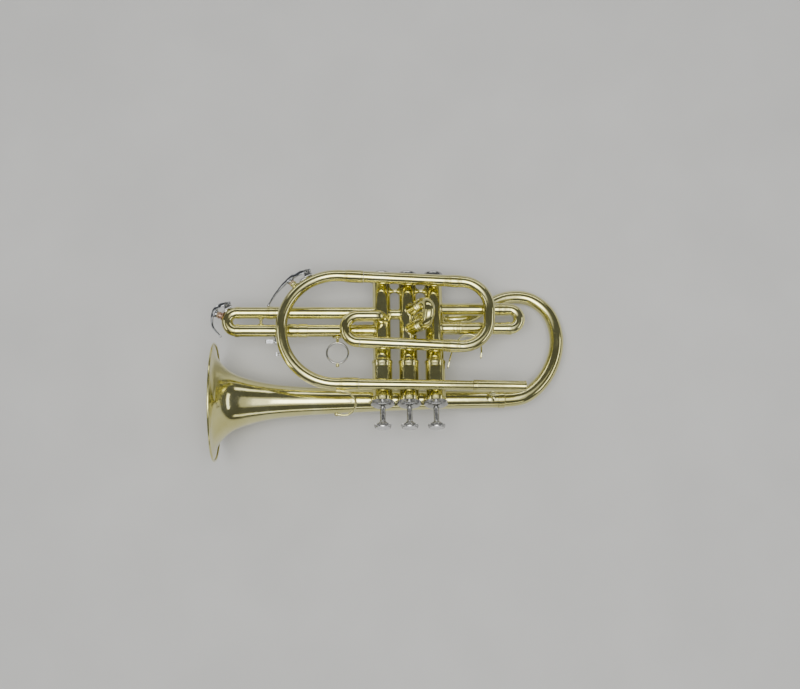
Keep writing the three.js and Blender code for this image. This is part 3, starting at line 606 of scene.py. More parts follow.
def strap(path, shape, side=Z, sides=28, squareness=5):
    """A forged strap with round edges. shape is (share of the length, half width, half thickness)."""

    def section(distance, scale, angle):
        share = min(max(distance / path.length, 0), 1)
        (start, *near), (end, *far) = next(s for s in zip(shape, shape[1:]) if share <= s[1][0])
        t = (share - start) / (end - start)
        width, thickness = (a + (b - a) * t * t * (3 - 2 * t) for a, b in zip(near, far))
        c, s = math.cos(angle), math.sin(angle)
        across = math.copysign(abs(c) ** (2 / squareness), c) * thickness
        along = math.copysign(abs(s) ** (2 / squareness), s) * width
        return across * scale, along * scale

    ease, steps = 0.5, 40
    start = [(0, 0), (0, 0.8), (ease * 0.3, 0.93), (ease, 1)]
    stations = [path.length * k / steps for k in range(1, steps)]
    middle = [(distance, 1) for distance in stations if ease < distance < path.length - ease]
    loop = both_ends(start, path.length, middle)
    return sweep(path, loop, sides=sides, section=section, side=side)


def rounded_block(centre, size, radius=0.6):
    """A machined block with rounded edges."""
    mesh = bmesh.new()
    bmesh.ops.create_cube(mesh, size=1)
    bmesh.ops.scale(mesh, vec=size, verts=mesh.verts)
    bmesh.ops.translate(mesh, vec=centre, verts=mesh.verts)
    bmesh.ops.bevel(mesh, geom=mesh.edges[:], offset=radius, segments=4, profile=0.5, affect="EDGES")
    return mesh


def joined(first, *others):
    """One mesh holding several brazed shapes."""
    for other in others:
        data = bpy.data.meshes.new("brazed")
        other.to_mesh(data)
        other.free()
        first.from_mesh(data)
        bpy.data.meshes.remove(data)
    return first


def seated(mesh, number, way, reach=4.0):
    """Lets the end of a tube that leaves a valve casing follow the casing's round wall."""
    across = way.cross(Y)
    for vertex in mesh.verts:
        offset = vertex.co - Vector((VALVE_X[number], 0, 0))
        along, aside = offset.dot(way), offset.dot(across)
        fade = min(max((CASING_RADIUS + reach - along) / reach, 0), 1)
        drop = CASING_RADIUS - math.sqrt(max(CASING_RADIUS**2 - aside**2, 0))
        if along > 0:
            vertex.co -= way * drop * fade
    return mesh


# ---- pieces ----

SHARP_EDGE = math.radians(42)


def piece(name, mesh, finish, body):
    """Places a mesh made in the instrument's frame as a piece that rides on a body."""
    material, slot = FINISHES[finish]
    mesh.transform(TO_ROW)
    bmesh.ops.recalc_face_normals(mesh, faces=mesh.faces)
    data = bpy.data.meshes.new(name)
    mesh.to_mesh(data)
    mesh.free()
    data.shade_smooth()
    data.set_sharp_from_angle(angle=SHARP_EDGE)
    data.materials.append(material)
    made = bpy.data.objects.new(name, data)
    bpy.context.scene.collection.objects.link(made)
    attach(made, body)
    return made


def fine(node, mesh, finish="brass"):
    """The finished form of one CAD node."""
    made = piece("fine_" + node, mesh, finish, BODY_OF[node])
    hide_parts(node)
    return made


def carried(node, finish):
    """A CAD node whose own shape stays, with a better material."""
    material, slot = FINISHES[finish]
    shown = frame["nodes"][node]
    for entry in shown.material_slots:
        entry.material = material


# ---- valves ----


def knurled(base, way, outline, bottom, top, least, count, depth, sharpness=0.7, sides_per_tooth=4):
    """A turned solid with teeth between two distances, on whatever is at least that wide there."""

    def section(distance, radius, angle):
        if bottom <= distance <= top and radius >= least:
            radius -= depth * (0.5 + 0.5 * math.cos(count * angle)) ** sharpness
        return round_section(distance, radius, angle)

    # Rings just inside and outside the stretch let the teeth end crisply.
    edge, ease = 0.01, 0.25
    marks = (bottom - edge, bottom + edge, bottom + ease, top - ease, top - edge, top + edge)
    return turned(base, way, divided(outline, marks), sides=sides_per_tooth * count, section=section)


def valve_base(number):
    return Vector((VALVE_X[number], 0, 0))


def casing():
    """The narrow tube round the piston, a bead, and the wider barrel round the spring."""
    narrow, wide, step, top = CASING_RADIUS, BARREL_RADIUS, CASING_STEP, CASING_TOP
    bead, ring, groove, spring_bore = wide + 0.5, wide + 0.35, wide - 0.15, wide - 0.8
    outer = [
        (CASING_BOTTOM, narrow), (step - 3.2, narrow), (step - 2.2, narrow + 0.35), (step - 1.4, bead - 0.15),
        (step - 0.7, bead), (step + 0.7, bead), (step + 1.2, wide + 0.1), (step + 1.8, wide),
        (step + 4.2, wide), (step + 4.4, groove), (step + 4.9, groove), (step + 5.1, wide),
        (top - 8.2, wide), (top - 8, ring), (top - 6.4, ring), (top - 6.2, wide), (top, wide),
    ]
    inner = [(CASING_BOTTOM, PISTON_BORE), (step, PISTON_BORE), (step, spring_bore), (top, spring_bore)]
    return hollow(outer, inner, 0.35)


STAY_FILLET = [(0, 4.6), (0.4, 3.7), (0.9, 3.0), (1.6, 2.45), (2.5, 2.05), (3.6, 1.85)]


def crossover(side, height, fillet, bore):
    """A brazed tube or stay from the middle casing to its neighbour, with a fillet at each end."""
    neighbour = 1 if side > 0 else 3
    way = X * side
    path = route((side * CASING_RADIUS, height, 0), (side * (VALVE_X[1] - CASING_RADIUS), height, 0))
    mesh = tube(path, both_ends(fillet, path.length), bore, 0.25, sides=48)
    return seated(seated(mesh, 2, way, 3.4), neighbour, -way, 3.4)


def top_cap():
    """A skirt under a low dome, with a hole for the stem."""
    rim, bottom, ceiling, hole = 11.8, CAP_CEILING - 4, CAP_CEILING, STEM_RADIUS + 0.3
    knots = [(ceiling + 0.1, 10.9), (ceiling + 1.3, 9.5), (ceiling + 2.2, 7.5), (ceiling + 2.6, 5.6)]
    dome, _ = smooth_points([*knots, (ceiling + 2.8, 4.2)], 5)
    skirt = [(bottom, rim - 0.4), (bottom + 0.5, rim), (ceiling - 0.6, rim), (ceiling - 0.1, rim - 0.4)]
    inner = [(bottom, BARREL_RADIUS + 0.3), (ceiling, BARREL_RADIUS + 0.3), (ceiling, hole)]
    return hollow([*skirt, *(tuple(point) for point in dome), (ceiling + 2.8, hole)], inner, 0.15)


def bottom_cap():
    """A shallow cup with a groove under its knurled rim."""
    face, seat = BOTTOM_FACE, CAP_SEAT
    bowl = [(face, 0), (face, 8), (face + 0.5, 9.1), (face + 1.4, 10), (face + 2.6, 10.3)]
    rim = [(seat - 1.1, 10.3), (seat - 0.8, 10), (seat - 0.5, 10), (seat - 0.2, 10.4), (seat + 3.2, 10.4)]
    inside = [(seat + 3.8, 10.1), (seat + 3.8, 9.4), (seat, 9.4), (seat, 0)]
    return rounded([*bowl, *rim, *inside], 0.3)


def stem():
    """The plate over the spring, then the rod up into the button, with a collar just under it."""
    rod, collar, plate = STEM_RADIUS, STEM_RADIUS + 0.2, 8.2
    foot = [(STEM_BOTTOM, 0), (STEM_BOTTOM, 6.7), (PLATE_BOTTOM, 6.7), (PLATE_BOTTOM, plate)]
    shoulder = [(PLATE_TOP, plate), (PLATE_TOP, rod + 0.3), (PLATE_TOP + 0.6, rod)]
    heights = ((-1.9, rod), (-1.7, collar), (-0.7, collar), (-0.5, rod), (2.7, rod), (2.7, 0))
    return rounded([*foot, *shoulder, *((BUTTON_BASE + height, radius) for height, radius in heights)], 0.2)


def finger_button():
    """A boss, a scalloped flange and the shallow cup that holds the pearl, as heights above its base."""
    hole = STEM_RADIUS + 0.3
    outline = [
        (3, 0), (3, hole), (0, hole), (0, 4), (0.6, 4.35), (1.2, 4.7), (1.7, 5.8), (2.1, 8.1), (2.4, 8.5),
        (4.6, 8.5), (4.9, 8.1), (5.8, 7.95), (5.8, 7.65), (4.8, 7.6), (4.8, 0),
    ]
    return rounded([(BUTTON_BASE + height, radius) for height, radius in outline], 0.2)


def pearl_disc():
    seat, edge, crown, fall = BUTTON_BASE + 5.1, 1.3, 2.4, 0.016
    dome = [(seat + crown - fall * radius**2, radius) for radius in (6.6, 5.5, 4.4, 3.3, 2.2, 1.1, 0)]
    return rounded([(seat, 0), (seat, 7.4), (seat + edge, 7.4), *dome], 0.25)


KNURLING = {
    "top_cap": {
        "outline": top_cap(), "bottom": CAP_CEILING - 3.3, "top": CAP_CEILING - 0.8,
        "least": 11.5, "count": 48, "depth": 0.45, "sharpness": 1,
    },
    "bottom_cap": {
        "outline": bottom_cap(), "bottom": CAP_SEAT + 0.1, "top": CAP_SEAT + 2.9,
        "least": 10.2, "count": 56, "depth": 0.3,
    },
    "finger_button": {
        "outline": finger_button(), "bottom": BUTTON_BASE + 2.5, "top": BUTTON_BASE + 4.6,
        "least": 8.2, "count": 24, "depth": 1.5, "sharpness": 1, "sides_per_tooth": 8,
    },
}


def valve_casing(number):
    """A casing. The middle one also carries the tubes and the stays that join it to the others."""
    shell = turned(valve_base(number), Y, casing(), sides=72)
    if number == 2:
        for side in (-1, 1):
            passage = crossover(side, PASSAGE_HEIGHT, flared(5.2), 4.3)
            stay = crossover(side, STAY_HEIGHT, STAY_FILLET, 0.6)
            shell = joined(shell, passage, stay)
    return shell


def add_valve(number):
    base = valve_base(number)
    fine(f"valve_casing_{number}", valve_casing(number))
    for name, teeth in KNURLING.items():
        fine(f"{name}_{number}", knurled(base, Y, **teeth), "nickel")
    fine(f"valve_stem_{number}", turned(base, Y, stem()), "nickel")
    fine(f"button_pearl_{number}", turned(base, Y, pearl_disc()), "pearl")
    carried(f"piston_{number}", "nickel")
    carried(f"valve_guide_{number}", "nickel")
    carried(f"stem_felt_{number}", "felt")
    add_valve_spring(number)


def add_valve_spring(number):
    """The spring under the stem's plate, which closes up as the valve goes down."""
    wire, radius, turns, steps = 0.45, 5.4, 5, 120
    length = SPRING_TOP - SPRING_SEAT
    seat = Vector((VALVE_X[number], SPRING_SEAT, 0))
    path = coil_path(seat, Y, X * radius, turns, length, steps)
    coil = sweep(path, rounded_rod(path.length, wire), sides=12)
    spring = fine(f"valve_spring_{number}", coil, "steel")
    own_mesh(spring)


# ---- bell and crook ----


def point_on(line, x, z):
    """The point at x on a line given by two of its points (x, y)."""
    (start, low), (end, high) = line
    return (x, low + (high - low) * (x - start) / (end - start), z)


def bell_axis_at(x):
    return point_on(BELL_LINE, x, BELL_SIDE)


def add_bell():
    """The flare with its wire-rolled rim. Outside and inside are the same curve, a thin wall apart."""
    knots = [(0.6, 57.6), (3, 46), (8, 38.5), (18, 29.4), (34, 22.8), (54, 18), (78, 15), (120, 12.6)]
    points, slopes = smooth_points([*knots, (190, 9.8), (BELL_LENGTH, 8.2)], 9)
    half_wall = 0.28
    outward = [Vector((-slope.y, slope.x)) * half_wall for slope in slopes]
    outer = [tuple(point + offset) for point, offset in zip(points, outward)]
    inner = [tuple(point - offset) for point, offset in zip(points, outward)]
    outer[-1], inner[-1] = (BELL_LENGTH, 8.5), (BELL_LENGTH, 7.9)
    path = route(bell_axis_at(BELL_RIM_X), bell_axis_at(BELL_RIM_X + BELL_LENGTH))
    loop = [*rolled_rim(), *without_repeats(outer), *reversed(without_repeats(inner))]
    fine("bell", sweep(path, loop, sides=144))


def rolled_rim():
    """Most of a circle round the wire in the rim, from the front over the edge to the back."""
    centre, radius, steps = Vector((1.1, 58.4)), 1.08, 14
    start, sweep_angle = math.radians(205), math.radians(260)
    angles = [start - sweep_angle * k / steps for k in range(steps + 1)]
    return [tuple(centre + Vector((math.cos(a), math.sin(a))) * radius) for a in angles]


def crook_path():
    """From the bell's end down round the shepherd's crook, then in to the first valve's casing."""
    bend = [(118, 47.5), (138.3, 31), (151.5, 6), (154.5, -18)]
    bend += [(147.5, -41), (129, -56.2), (106, -58), (86, -50)]
    tail = [(68, -38, 22), (54, -33.8, 21), (41, TAIL_HEIGHT, 20), (33, TAIL_HEIGHT, 15)]
    last = (VALVE_X[1] + 1, TAIL_HEIGHT, 2.5)
    return smooth(bell_axis_at(91.3), bell_axis_at(93), *((x, y, BELL_SIDE) for x, y in bend), *tail, last)


def add_crook():
    path = crook_path()
    # The tail's last stretch points at the valve's axis and ends on the casing's wall.
    last = path.points[-1] - Vector((VALVE_X[1], TAIL_HEIGHT, 0))
    length = path.length - (CASING_RADIUS - last.length)
    start_radius, middle_radius, end_radius = 8, 6.9, 5.9

    def taper(distance, offset):
        share = 2 * distance / length
        if share < 1:
            return (distance, start_radius - (start_radius - middle_radius) * share + offset)
        return (distance, middle_radius - (middle_radius - end_radius) * (share - 1) + offset)

    ferrule = [(0, 8.75), (0.4, 8.9), (5.6, 8.9), (6, 8.6), (6.4, 8.0)]
    fillet = [taper(d, r - end_radius) for d, r in mirrored(flared(end_radius), length)]
    middle = [taper(length * share, 0) for share in (0.2, 0.35, 0.5, 0.65, 0.8)]
    inner = [taper(length * share, -WALL) for share in (0, 0.5, 1)]
    crook = sweep(path, hollow([*ferrule, *middle, *fillet], inner, 0.3))
    fine("bell_crook", seated(crook, 1, -path.tangents[-1]))


# ---- leadpipe, receiver and front bow ----


def leadpipe_at(x):
    return point_on(LEADPIPE_LINE, x, LEADPIPE_SIDE)


def tuning_point(along, across):
    x, y = TUNING_JOINT
    c, s = math.cos(TUNING_SLOPE), math.sin(TUNING_SLOPE)
    return (x + along * c - across * s, y + along * s + across * c, LEADPIPE_SIDE)


def add_leadpipe():
    path = route(leadpipe_at(BOW_END), leadpipe_at(RECEIVER_START - 0.3))
    end = path.length
    outer = [(0, 5.65), (end * 0.35, 5.35), (end * 0.7, 5.08), (end, 4.85)]
    fine("leadpipe", sweep(path, hollow(outer, [(0, 5.1), (end, 4.3)])))


def add_receiver():
    """The mouthpiece receiver: a beaded collar, a long taper and a small rim round the socket."""
    path = route(leadpipe_at(RECEIVER_START), leadpipe_at(RECEIVER_END))
    end = path.length
    collar = [(0, 5.5), (0.4, 5.9), (1.4, 5.9), (1.7, 5.5), (2.2, 5.5), (2.5, 5.85), (3.3, 5.85), (3.8, 5.6)]
    rim = [(end * 0.5, 5.4), (end - 1.6, 5.25), (end - 1.3, 5.6), (end - 0.3, 5.6), (end, 5.4)]
    inner = [(0, 4.35), (18, 4.3), (end - 0.6, 4.85), (end, 5.05)]
    fine("mouthpiece_receiver", sweep(path, hollow([*collar, *rim], inner, 0.2)))


def add_front_bow():
    left, bend = BOW_CENTRE[0] - BOW_RADIUS, BOW_RADIUS - 1
    low_end = tuning_point(left - TUNING_JOINT[0], -TUNING_HALF_SPAN)
    path = route(
        leadpipe_at(BOW_END - 0.3),
        (*leadpipe_at(left), bend),
        (left, low_end[1], LEADPIPE_SIDE, bend),
        tuning_point(-85.5, -TUNING_HALF_SPAN),
    )
    ferrule = [*band(0, 18, TUBE_RADIUS + 0.65), (18.4, TUBE_RADIUS)]
    fine("front_bow", tube(path, both_ends(ferrule, path.length), TUBE_RADIUS - WALL, 0.2, sides=64))


# ---- main tuning slide ----


def add_tuning_tubes():
    for name, start, across in (("lower", -85.2, -TUNING_HALF_SPAN), ("upper", -86, TUNING_HALF_SPAN)):
        path = route(tuning_point(start, across), tuning_point(0, across))
        end = path.length
        outer = [(0, TUBE_RADIUS), (end - 5, TUBE_RADIUS), *band(end - 4.8, end, TUBE_RADIUS + 0.28)]
        fine(f"tuning_tube_{name}", tube(path, outer, TUBE_RADIUS - WALL))


def add_entry_bow():
    left, radius, last_radius, height = -63.1, 13, 7.5, -24.4
    start = tuning_point(-86.3, TUNING_HALF_SPAN)
    path = route(
        start,
        (left, start[1] - 0.6, LEADPIPE_SIDE, radius),
        (left, height, LEADPIPE_SIDE, radius),
        (VALVE_X[3], height, LEADPIPE_SIDE, last_radius),
        (VALVE_X[3], height, -CASING_RADIUS),
    )
    outer = [(0, 5.6), *mirrored(flared(5.6), path.length)]
    fine("entry_bow", seated(tube(path, outer, 5.1, 0.25), 3, -Z, 2.5))


def add_tuning_slide():
    leg, ferrule, far = 45, 12, 41.6
    path = route(
        tuning_point(-leg, -TUNING_HALF_SPAN),
        (*tuning_point(far, -TUNING_HALF_SPAN), TUNING_BEND),
        (*tuning_point(far, TUNING_HALF_SPAN), TUNING_BEND),
        tuning_point(-leg, TUNING_HALF_SPAN),
    )
    collar = band(leg + 0.3, leg + ferrule, TUBE_RADIUS + 0.5)
    side = [(0, LEG_RADIUS), (leg + 0.3, LEG_RADIUS), *collar, (leg + ferrule + 0.3, TUBE_RADIUS)]
    fine("main_tuning_slide", tube(path, both_ends(side, path.length), LEG_BORE, sides=64))


# ---- valve slides ----


def beside_valve(number, way, distance, height):
    return tuple(valve_base(number) + way * distance + Y * height)


def valve_tube(number, way, height, end_distance, finish_outline, bore):
    """A tube from a casing's wall out to a distance from the valve's axis."""
    ends = (beside_valve(number, way, distance, height) for distance in (CASING_RADIUS, end_distance))
    path = route(*ends)
    outer = [*flared(SLIDE_RADIUS), *finish_outline(path.length)]
    return seated(tube(path, outer, bore), number, way)


def beaded_end(length):
    """The end of an outer slide tube, with a reinforcing ring."""
    ring = SLIDE_RADIUS + 0.3
    return [(length - 2.6, SLIDE_RADIUS), (length - 2.4, ring), (length - 0.3, ring), (length, ring - 0.25)]


def slide_bend(number, way, slide, low_start, high_start, bend):
    low, high = slide["low"], slide["high"]
    radius = (high - low) / 2
    return route(
        beside_valve(number, way, low_start, low),
        (*beside_valve(number, way, bend + radius, low), radius),
        (*beside_valve(number, way, bend + radius, high), radius),
        beside_valve(number, way, high_start, high),
    )


def raised(start, end, radius, height):
    """A short ring proud of a tube."""
    return [(start, radius), (start + 0.3, radius + height), (end - 0.3, radius + height), (end, radius)]


def crook_and_sleeve(length, leg_end, turn, sleeve_start, rings):
    """The outside of a slide's moving part, from its low leg through the bend to the sleeve's end."""
    ferrule = SLIDE_RADIUS + 0.4
    sleeve_end = [(0, ferrule - 0.1), (0.3, ferrule), (2.2, ferrule), (2.5, SLIDE_RADIUS)]
    return [
        *plain(leg_end, LEG_RADIUS), *band(leg_end, leg_end + 8, ferrule), (leg_end + 8.3, TUBE_RADIUS),
        *raised(turn - 3.5, turn + 1, TUBE_RADIUS, 0.4), (sleeve_start - 1.3, TUBE_RADIUS),
        (sleeve_start - 1, ferrule), (sleeve_start + 3, ferrule), (sleeve_start + 3.3, SLIDE_RADIUS),
        *(point for start, end in rings for point in raised(start, end, SLIDE_RADIUS, 0.65)),
        *mirrored(sleeve_end, length),
    ]


def add_long_slide(name, number, way, slide, leg_start, rings=(), extras=()):
    """A slide whose low leg runs in a fixed tube and whose high leg is a sleeve over one.

    The rings are brazed round the sleeve, as (start, length) from the sleeve's start.
    """
    joint, collar, bend = (abs(slide[key] - VALVE_X[number]) for key in ("joint", "collar", "bend"))
    fine(f"{name}_outer_tube", valve_tube(number, way, slide["low"], joint, beaded_end, SLEEVE_BORE))

    shoulder = collar - 0.3 - CASING_RADIUS

    def stepped(length):
        rest = [(shoulder, LEG_RADIUS), (length, LEG_RADIUS)]
        return [*band(shoulder - 7, shoulder, SLIDE_RADIUS + 0.3), *rest]

    fine(f"{name}_inner_tube", valve_tube(number, way, slide["high"], bend - 4, stepped, LEG_BORE))

    path = slide_bend(number, way, slide, leg_start, collar, bend)
    sleeve_start = path.length - (bend - collar)
    placed = [(sleeve_start + start, sleeve_start + start + length) for start, length in rings]
    outer = crook_and_sleeve(path.length, joint + 0.3 - leg_start, bend - leg_start, sleeve_start, placed)
    step = sleeve_start + 2
    inner = [(0, LEG_BORE), (step, LEG_BORE), (step, SLEEVE_BORE), (path.length, SLEEVE_BORE)]
    crook = sweep(path, hollow(outer, inner, 0.15), sides=64)
    fine(f"{name}_crook", joined(crook, *extras))


def add_second_slide():
    slide, way = SECOND_SLIDE, SECOND_WAY
    for level in ("low", "high"):
        fixed = valve_tube(2, way, slide[level], slide["joint"], beaded_end, SLEEVE_BORE)
        fine(f"second_slide_tube_{level}", fixed)
    leg_start = CASING_RADIUS + 1.5
    path = slide_bend(2, way, slide, leg_start, leg_start, slide["bend"])
    leg_end = slide["joint"] + 0.3 - leg_start
    ferrule = band(leg_end, leg_end + 6, SLIDE_RADIUS + 0.4)
    side = [(0, LEG_RADIUS), (leg_end, LEG_RADIUS), *ferrule, (leg_end + 6.3, TUBE_RADIUS)]
    fine("second_slide_crook", tube(path, both_ends(side, path.length), LEG_BORE, sides=64))


def third_slide_stay():
    """A turned stay with a bead at its waist and a flange on each leg."""
    x, sunk = -147, 0.4
    bottom, top = THIRD_SLIDE["low"] + TUBE_RADIUS - sunk, THIRD_SLIDE["high"] - SLIDE_RADIUS + sunk
    half = (top - bottom) / 2
    foot = [(0, 0), (0, 3), (0.9, 2.9), (1.5, 1.6), (2.4, 1.15)]
    waist = [(half - 1, 1.2), (half - 0.6, 1.8), (half + 0.6, 1.8), (half + 1, 1.2)]
    return turned((x, bottom, 0), Y, rounded(both_ends(foot, top - bottom, waist), 0.3), sides=32)


# ---- finger fittings ----


def add_thumb_saddle():
    """A strap bent to a U over the first slide, on a rivet."""
    base = FIRST_SLIDE["high"] + SLIDE_RADIUS + 1.7
    bends = [(39, 24.5), (43.4, 8.5), (50, -4), (57, base), (64, base), (70.5, -5), (73, 4), (72.4, 14.5)]
    path = smooth(*((x, y, 0) for x, y in bends))
    shape = [(0, 2.6, 0.7), (0.08, 4.2, 0.85), (0.4, 4.5, 0.8)]
    shape += [(0.75, 4.4, 0.8), (0.93, 4, 0.85), (1, 2.6, 0.7)]
    rivet = rounded([(0, 0), (0, 3.4), (0.9, 3.2), (1.9, 1.8), (2.4, 0)], 0.4)
    fine("thumb_saddle", joined(strap(path, shape), turned((60.5, base - 1.5, 0), Y, rivet)))


def add_finger_ring():
    """The third finger's ring, on a turned foot, with a small button opposite it."""
    centre, radius, wire = Vector((-70.7, 8.9, 0)), 10.6, 0.95
    circle = coil_path(centre, Z, Y * -radius, turns=1, rise=0, steps=90)
    hoop = sweep(circle, rounded_rod(math.tau * radius, wire), sides=24)
    bottom = THIRD_SLIDE["high"] + SLIDE_RADIUS + 0.25
    foot_length = centre.y - radius - bottom
    foot = [(0, 0), (0, 3.4), (0.8, 3.3), (1.3, 1.9), (2.2, 1.5), (foot_length, 1.7), (foot_length, 0)]
    post = turned((centre.x, bottom, 0), Y, rounded(foot, 0.3), sides=32)
    plate_path = smooth(*((centre.x + dx, bottom + 0.6, 0) for dx in (-5, 0, 5)))
    plate = strap(plate_path, [(0, 1.2, 0.55), (0.3, 2.4, 0.55), (0.7, 2.4, 0.55), (1, 1.2, 0.55)])
    lug_outline = [(0, 0), (0, 1.6), (1, 1.35), (1.8, 1.6), (2.6, 1.9), (3.3, 1.5), (3.6, 0)]
    lug = turned((centre.x, centre.y + radius + 0.2, 0), Y, rounded(lug_outline, 0.4), sides=32)
    fine("finger_ring", joined(post, plate, lug))
    piece("finger_ring_hoop", hoop, "nickel", BODY_OF["finger_ring"])


def knurled_screw(base, way, length, head, shank, head_length):
    """A thumbscrew along a direction: a plain shank, then a knurled head with a domed end."""
    start = length - head_length
    outline = [
        (0, 0), (0, shank), (start - 0.6, shank), (start - 0.6, head * 0.75), (start, head * 0.8),
        (start + 0.3, head), (length - 0.5, head), (length, head * 0.75), (length + 0.1, 0),
    ]
    ends = {"bottom": start + 0.5, "top": length - 0.7}
    return knurled(base, way, rounded(outline, 0.2), **ends, least=head * 0.95, count=28, depth=0.22)


def add_slide_stop():
    """A block on the third slide's sleeve, with a thumbscrew along it."""
    x, bottom = -130.5, THIRD_SLIDE["high"] + SLIDE_RADIUS + 0.25
    body = rounded_block((x, bottom + 3.7, 0), (5, 7.4, 5), 0.7)
    flange = rounded([(0, 0), (0, 3.6), (0.7, 3.4), (1.2, 2.4), (1.2, 0)], 0.3)
    foot = turned((x, bottom, 0), Y, flange)
    screw = knurled_screw((x - 0.5, -3.1, 0), -X, length=11, head=2, shank=1.4, head_length=8)
    fine("slide_stop_screw", joined(body, foot, screw), "chrome")


def add_finger_hook():
    """A wire hook on the leadpipe for the right hand's little finger, with a bead at its tip."""
    foot = [(-72, 52.4, -18), (-64, 53.3, -19)]
    hook = [(-57.7, 56.2), (-53.6, 62), (-53.2, 67), (-55.9, 72.8), (-60.7, 76.4), (-65.5, 77), (-71, 75.9)]
    path = smooth(*foot, *((x, y, -20) for x, y in hook))
    shape = [(0, 2.2, 1.1), (0.12, 1.4, 1.2), (0.3, 1.25, 1.2)]
    shape += [(0.85, 1.2, 1.15), (0.95, 1.5, 1.3), (1, 1.5, 1.3)]
    wire = strap(path, shape, sides=24, squareness=2)
    bead = turned((-69.4, 76.3, -20), Vector((-1, -0.2, 0)), ball_outline(2.2, 2), sides=32)
    fine("finger_hook", joined(wire, bead))


def add_lyre_holder():
    """A block beside the front bow, with a small thumbscrew."""
    height, side = 12.4, LEADPIPE_SIDE + TUBE_RADIUS + 3.75
    body = rounded_block((-119.5, height, side), (7, 8, 7), 0.8)
    screw = knurled_screw((-122.5, height, side), -X, length=9.2, head=1.9, shank=0.95, head_length=2.6)
    fine("lyre_holder", joined(body, screw), "chrome")


def add_receiver_brace():
    """A turned brace with a ball in the middle and a domed flange on the receiver and on the bell."""
    low, high = Vector((83, 47.5, -11.3)), Vector((83, 51, 14.5))
    length = (high - low).length
    middle, rod = length / 2, 1.7
    foot = [(0, 0), (0, 5), (0.7, 4.9), (1.4, 3.6), (2.2, 2.1), (4, rod)]
    half = [*foot, (middle - 4.4, 1.6), (middle - 3.9, 2.2), (middle - 3.4, 2.2)]
    globe = [(d, r) for d, r in ball_outline(middle, 3.4)[1:-1] if r > rod]
    outline = rounded(both_ends(half, length, globe), 0.3)
    fine("receiver_brace", turned(low, high - low, outline, sides=40))


# ---- water keys ----

# Places round a key's bow are in degrees about its centre, from the player's side up towards the
# buttons. Its lever is a list of (degrees, height above the tube), from the heel to the tip.
BOW_KEY = {
    "centre": BOW_CENTRE,
    "surface": BOW_RADIUS + TUBE_RADIUS,
    "side": LEADPIPE_SIDE,
    "pivot": 241.6,
    "nipple": 226.4,
    "lever": [(246, 5.8), (241.6, 7), (236, 8.4), (226.4, 9.4), (212, 10), (199.6, 11.2)],
    "tip": 1.6,
    "seat": "brass",
}
SLIDE_KEY = {
    "centre": (THIRD_SLIDE["bend"], (THIRD_SLIDE["low"] + THIRD_SLIDE["high"]) / 2),
    "surface": (THIRD_SLIDE["high"] - THIRD_SLIDE["low"]) / 2 + TUBE_RADIUS,
    "side": 0.0,
    "pivot": 238,
    "nipple": 202,
    "lever": [(252, 5.6), (238, 7), (222, 9.4), (202, 10), (170, 9), (136, 6.6)],
    "tip": 1.2,
    "seat": "copper",
}
# The lever's (share of the length, half width, half thickness), from its heel to its tip.
LEVER = [(0, 2.6, 1.2), (0.08, 1.2, 1.6), (0.2, 1.2, 2.0), (0.36, 2.9, 2.0), (0.5, 2.4, 1.6)]
LEVER += [(0.7, 1.7, 1.1), (1, 1.3, 0.8)]
HINGE_HEIGHT = 5.0
PIN_RADIUS = 0.9


def on_bow(key, degrees, height, sideways=0.0):
    angle = math.radians(degrees)
    reach = key["surface"] + height
    x, y = key["centre"]
    return Vector((x + reach * math.cos(angle), y + reach * math.sin(angle), key["side"] + sideways))


def outwards(degrees):
    return Vector((math.cos(math.radians(degrees)), math.sin(math.radians(degrees)), 0))


def over_drain(key, outline):
    """A turned solid on the drain hole's axis. Its distances are heights above the tube."""
    return turned(on_bow(key, key["nipple"], 0), outwards(key["nipple"]), outline, sides=40)


def key_nipple(key):
    """The short tower over the drain hole, which the cork closes."""
    outer = [(-0.5, 4.3), (0.3, 4.1), (0.9, 3.6), (1.5, 3.2), (2.5, 3.2), (2.8, 3.6), (3.8, 3.5)]
    return over_drain(key, hollow(outer, [(-0.5, 1.4), (3.8, 1.4)], 0.3))


def key_hinge(key):
    """The saddle on the tube and the two ears with the pin through them."""
    pivot, nipple = key["pivot"], key["nipple"]
    angles = [pivot + (nipple - pivot) * k / 5 for k in range(-1, 4)]
    saddle_shape = [(0, 1.6, 0.9), (0.3, 4.6, 1.1), (0.55, 2.6, 1.1), (0.9, 2.2, 1.0), (1, 1.2, 0.8)]
    saddle = strap(smooth(*(on_bow(key, angle, 0.6) for angle in angles)), saddle_shape)
    low_end = [(-5.2, 0), (-5.2, 1.1), (-4.8, 1.6), (-4.4, 1.7), (-4.4, PIN_RADIUS)]
    high_end = [(4.4, PIN_RADIUS), (4.4, 1.5), (4.8, 1.4), (5.1, 0.9), (5.1, 0)]
    pin = turned(on_bow(key, pivot, HINGE_HEIGHT), Z, rounded([*low_end, *high_end], 0.2), sides=32)
    along = outwards(pivot).cross(Z)
    ear_shape = [(0, 4.4, 0.6), (0.45, 2.6, 0.6), (0.75, 2.4, 0.6), (1, 1.3, 0.5)]
    ears = []
    for sideways in (-3.8, 3.8):
        path = route(on_bow(key, pivot, 0.4, sideways), on_bow(key, pivot, HINGE_HEIGHT + 2.6, sideways))
        ears.append(strap(path, ear_shape, along))
    return joined(saddle, pin, *ears)


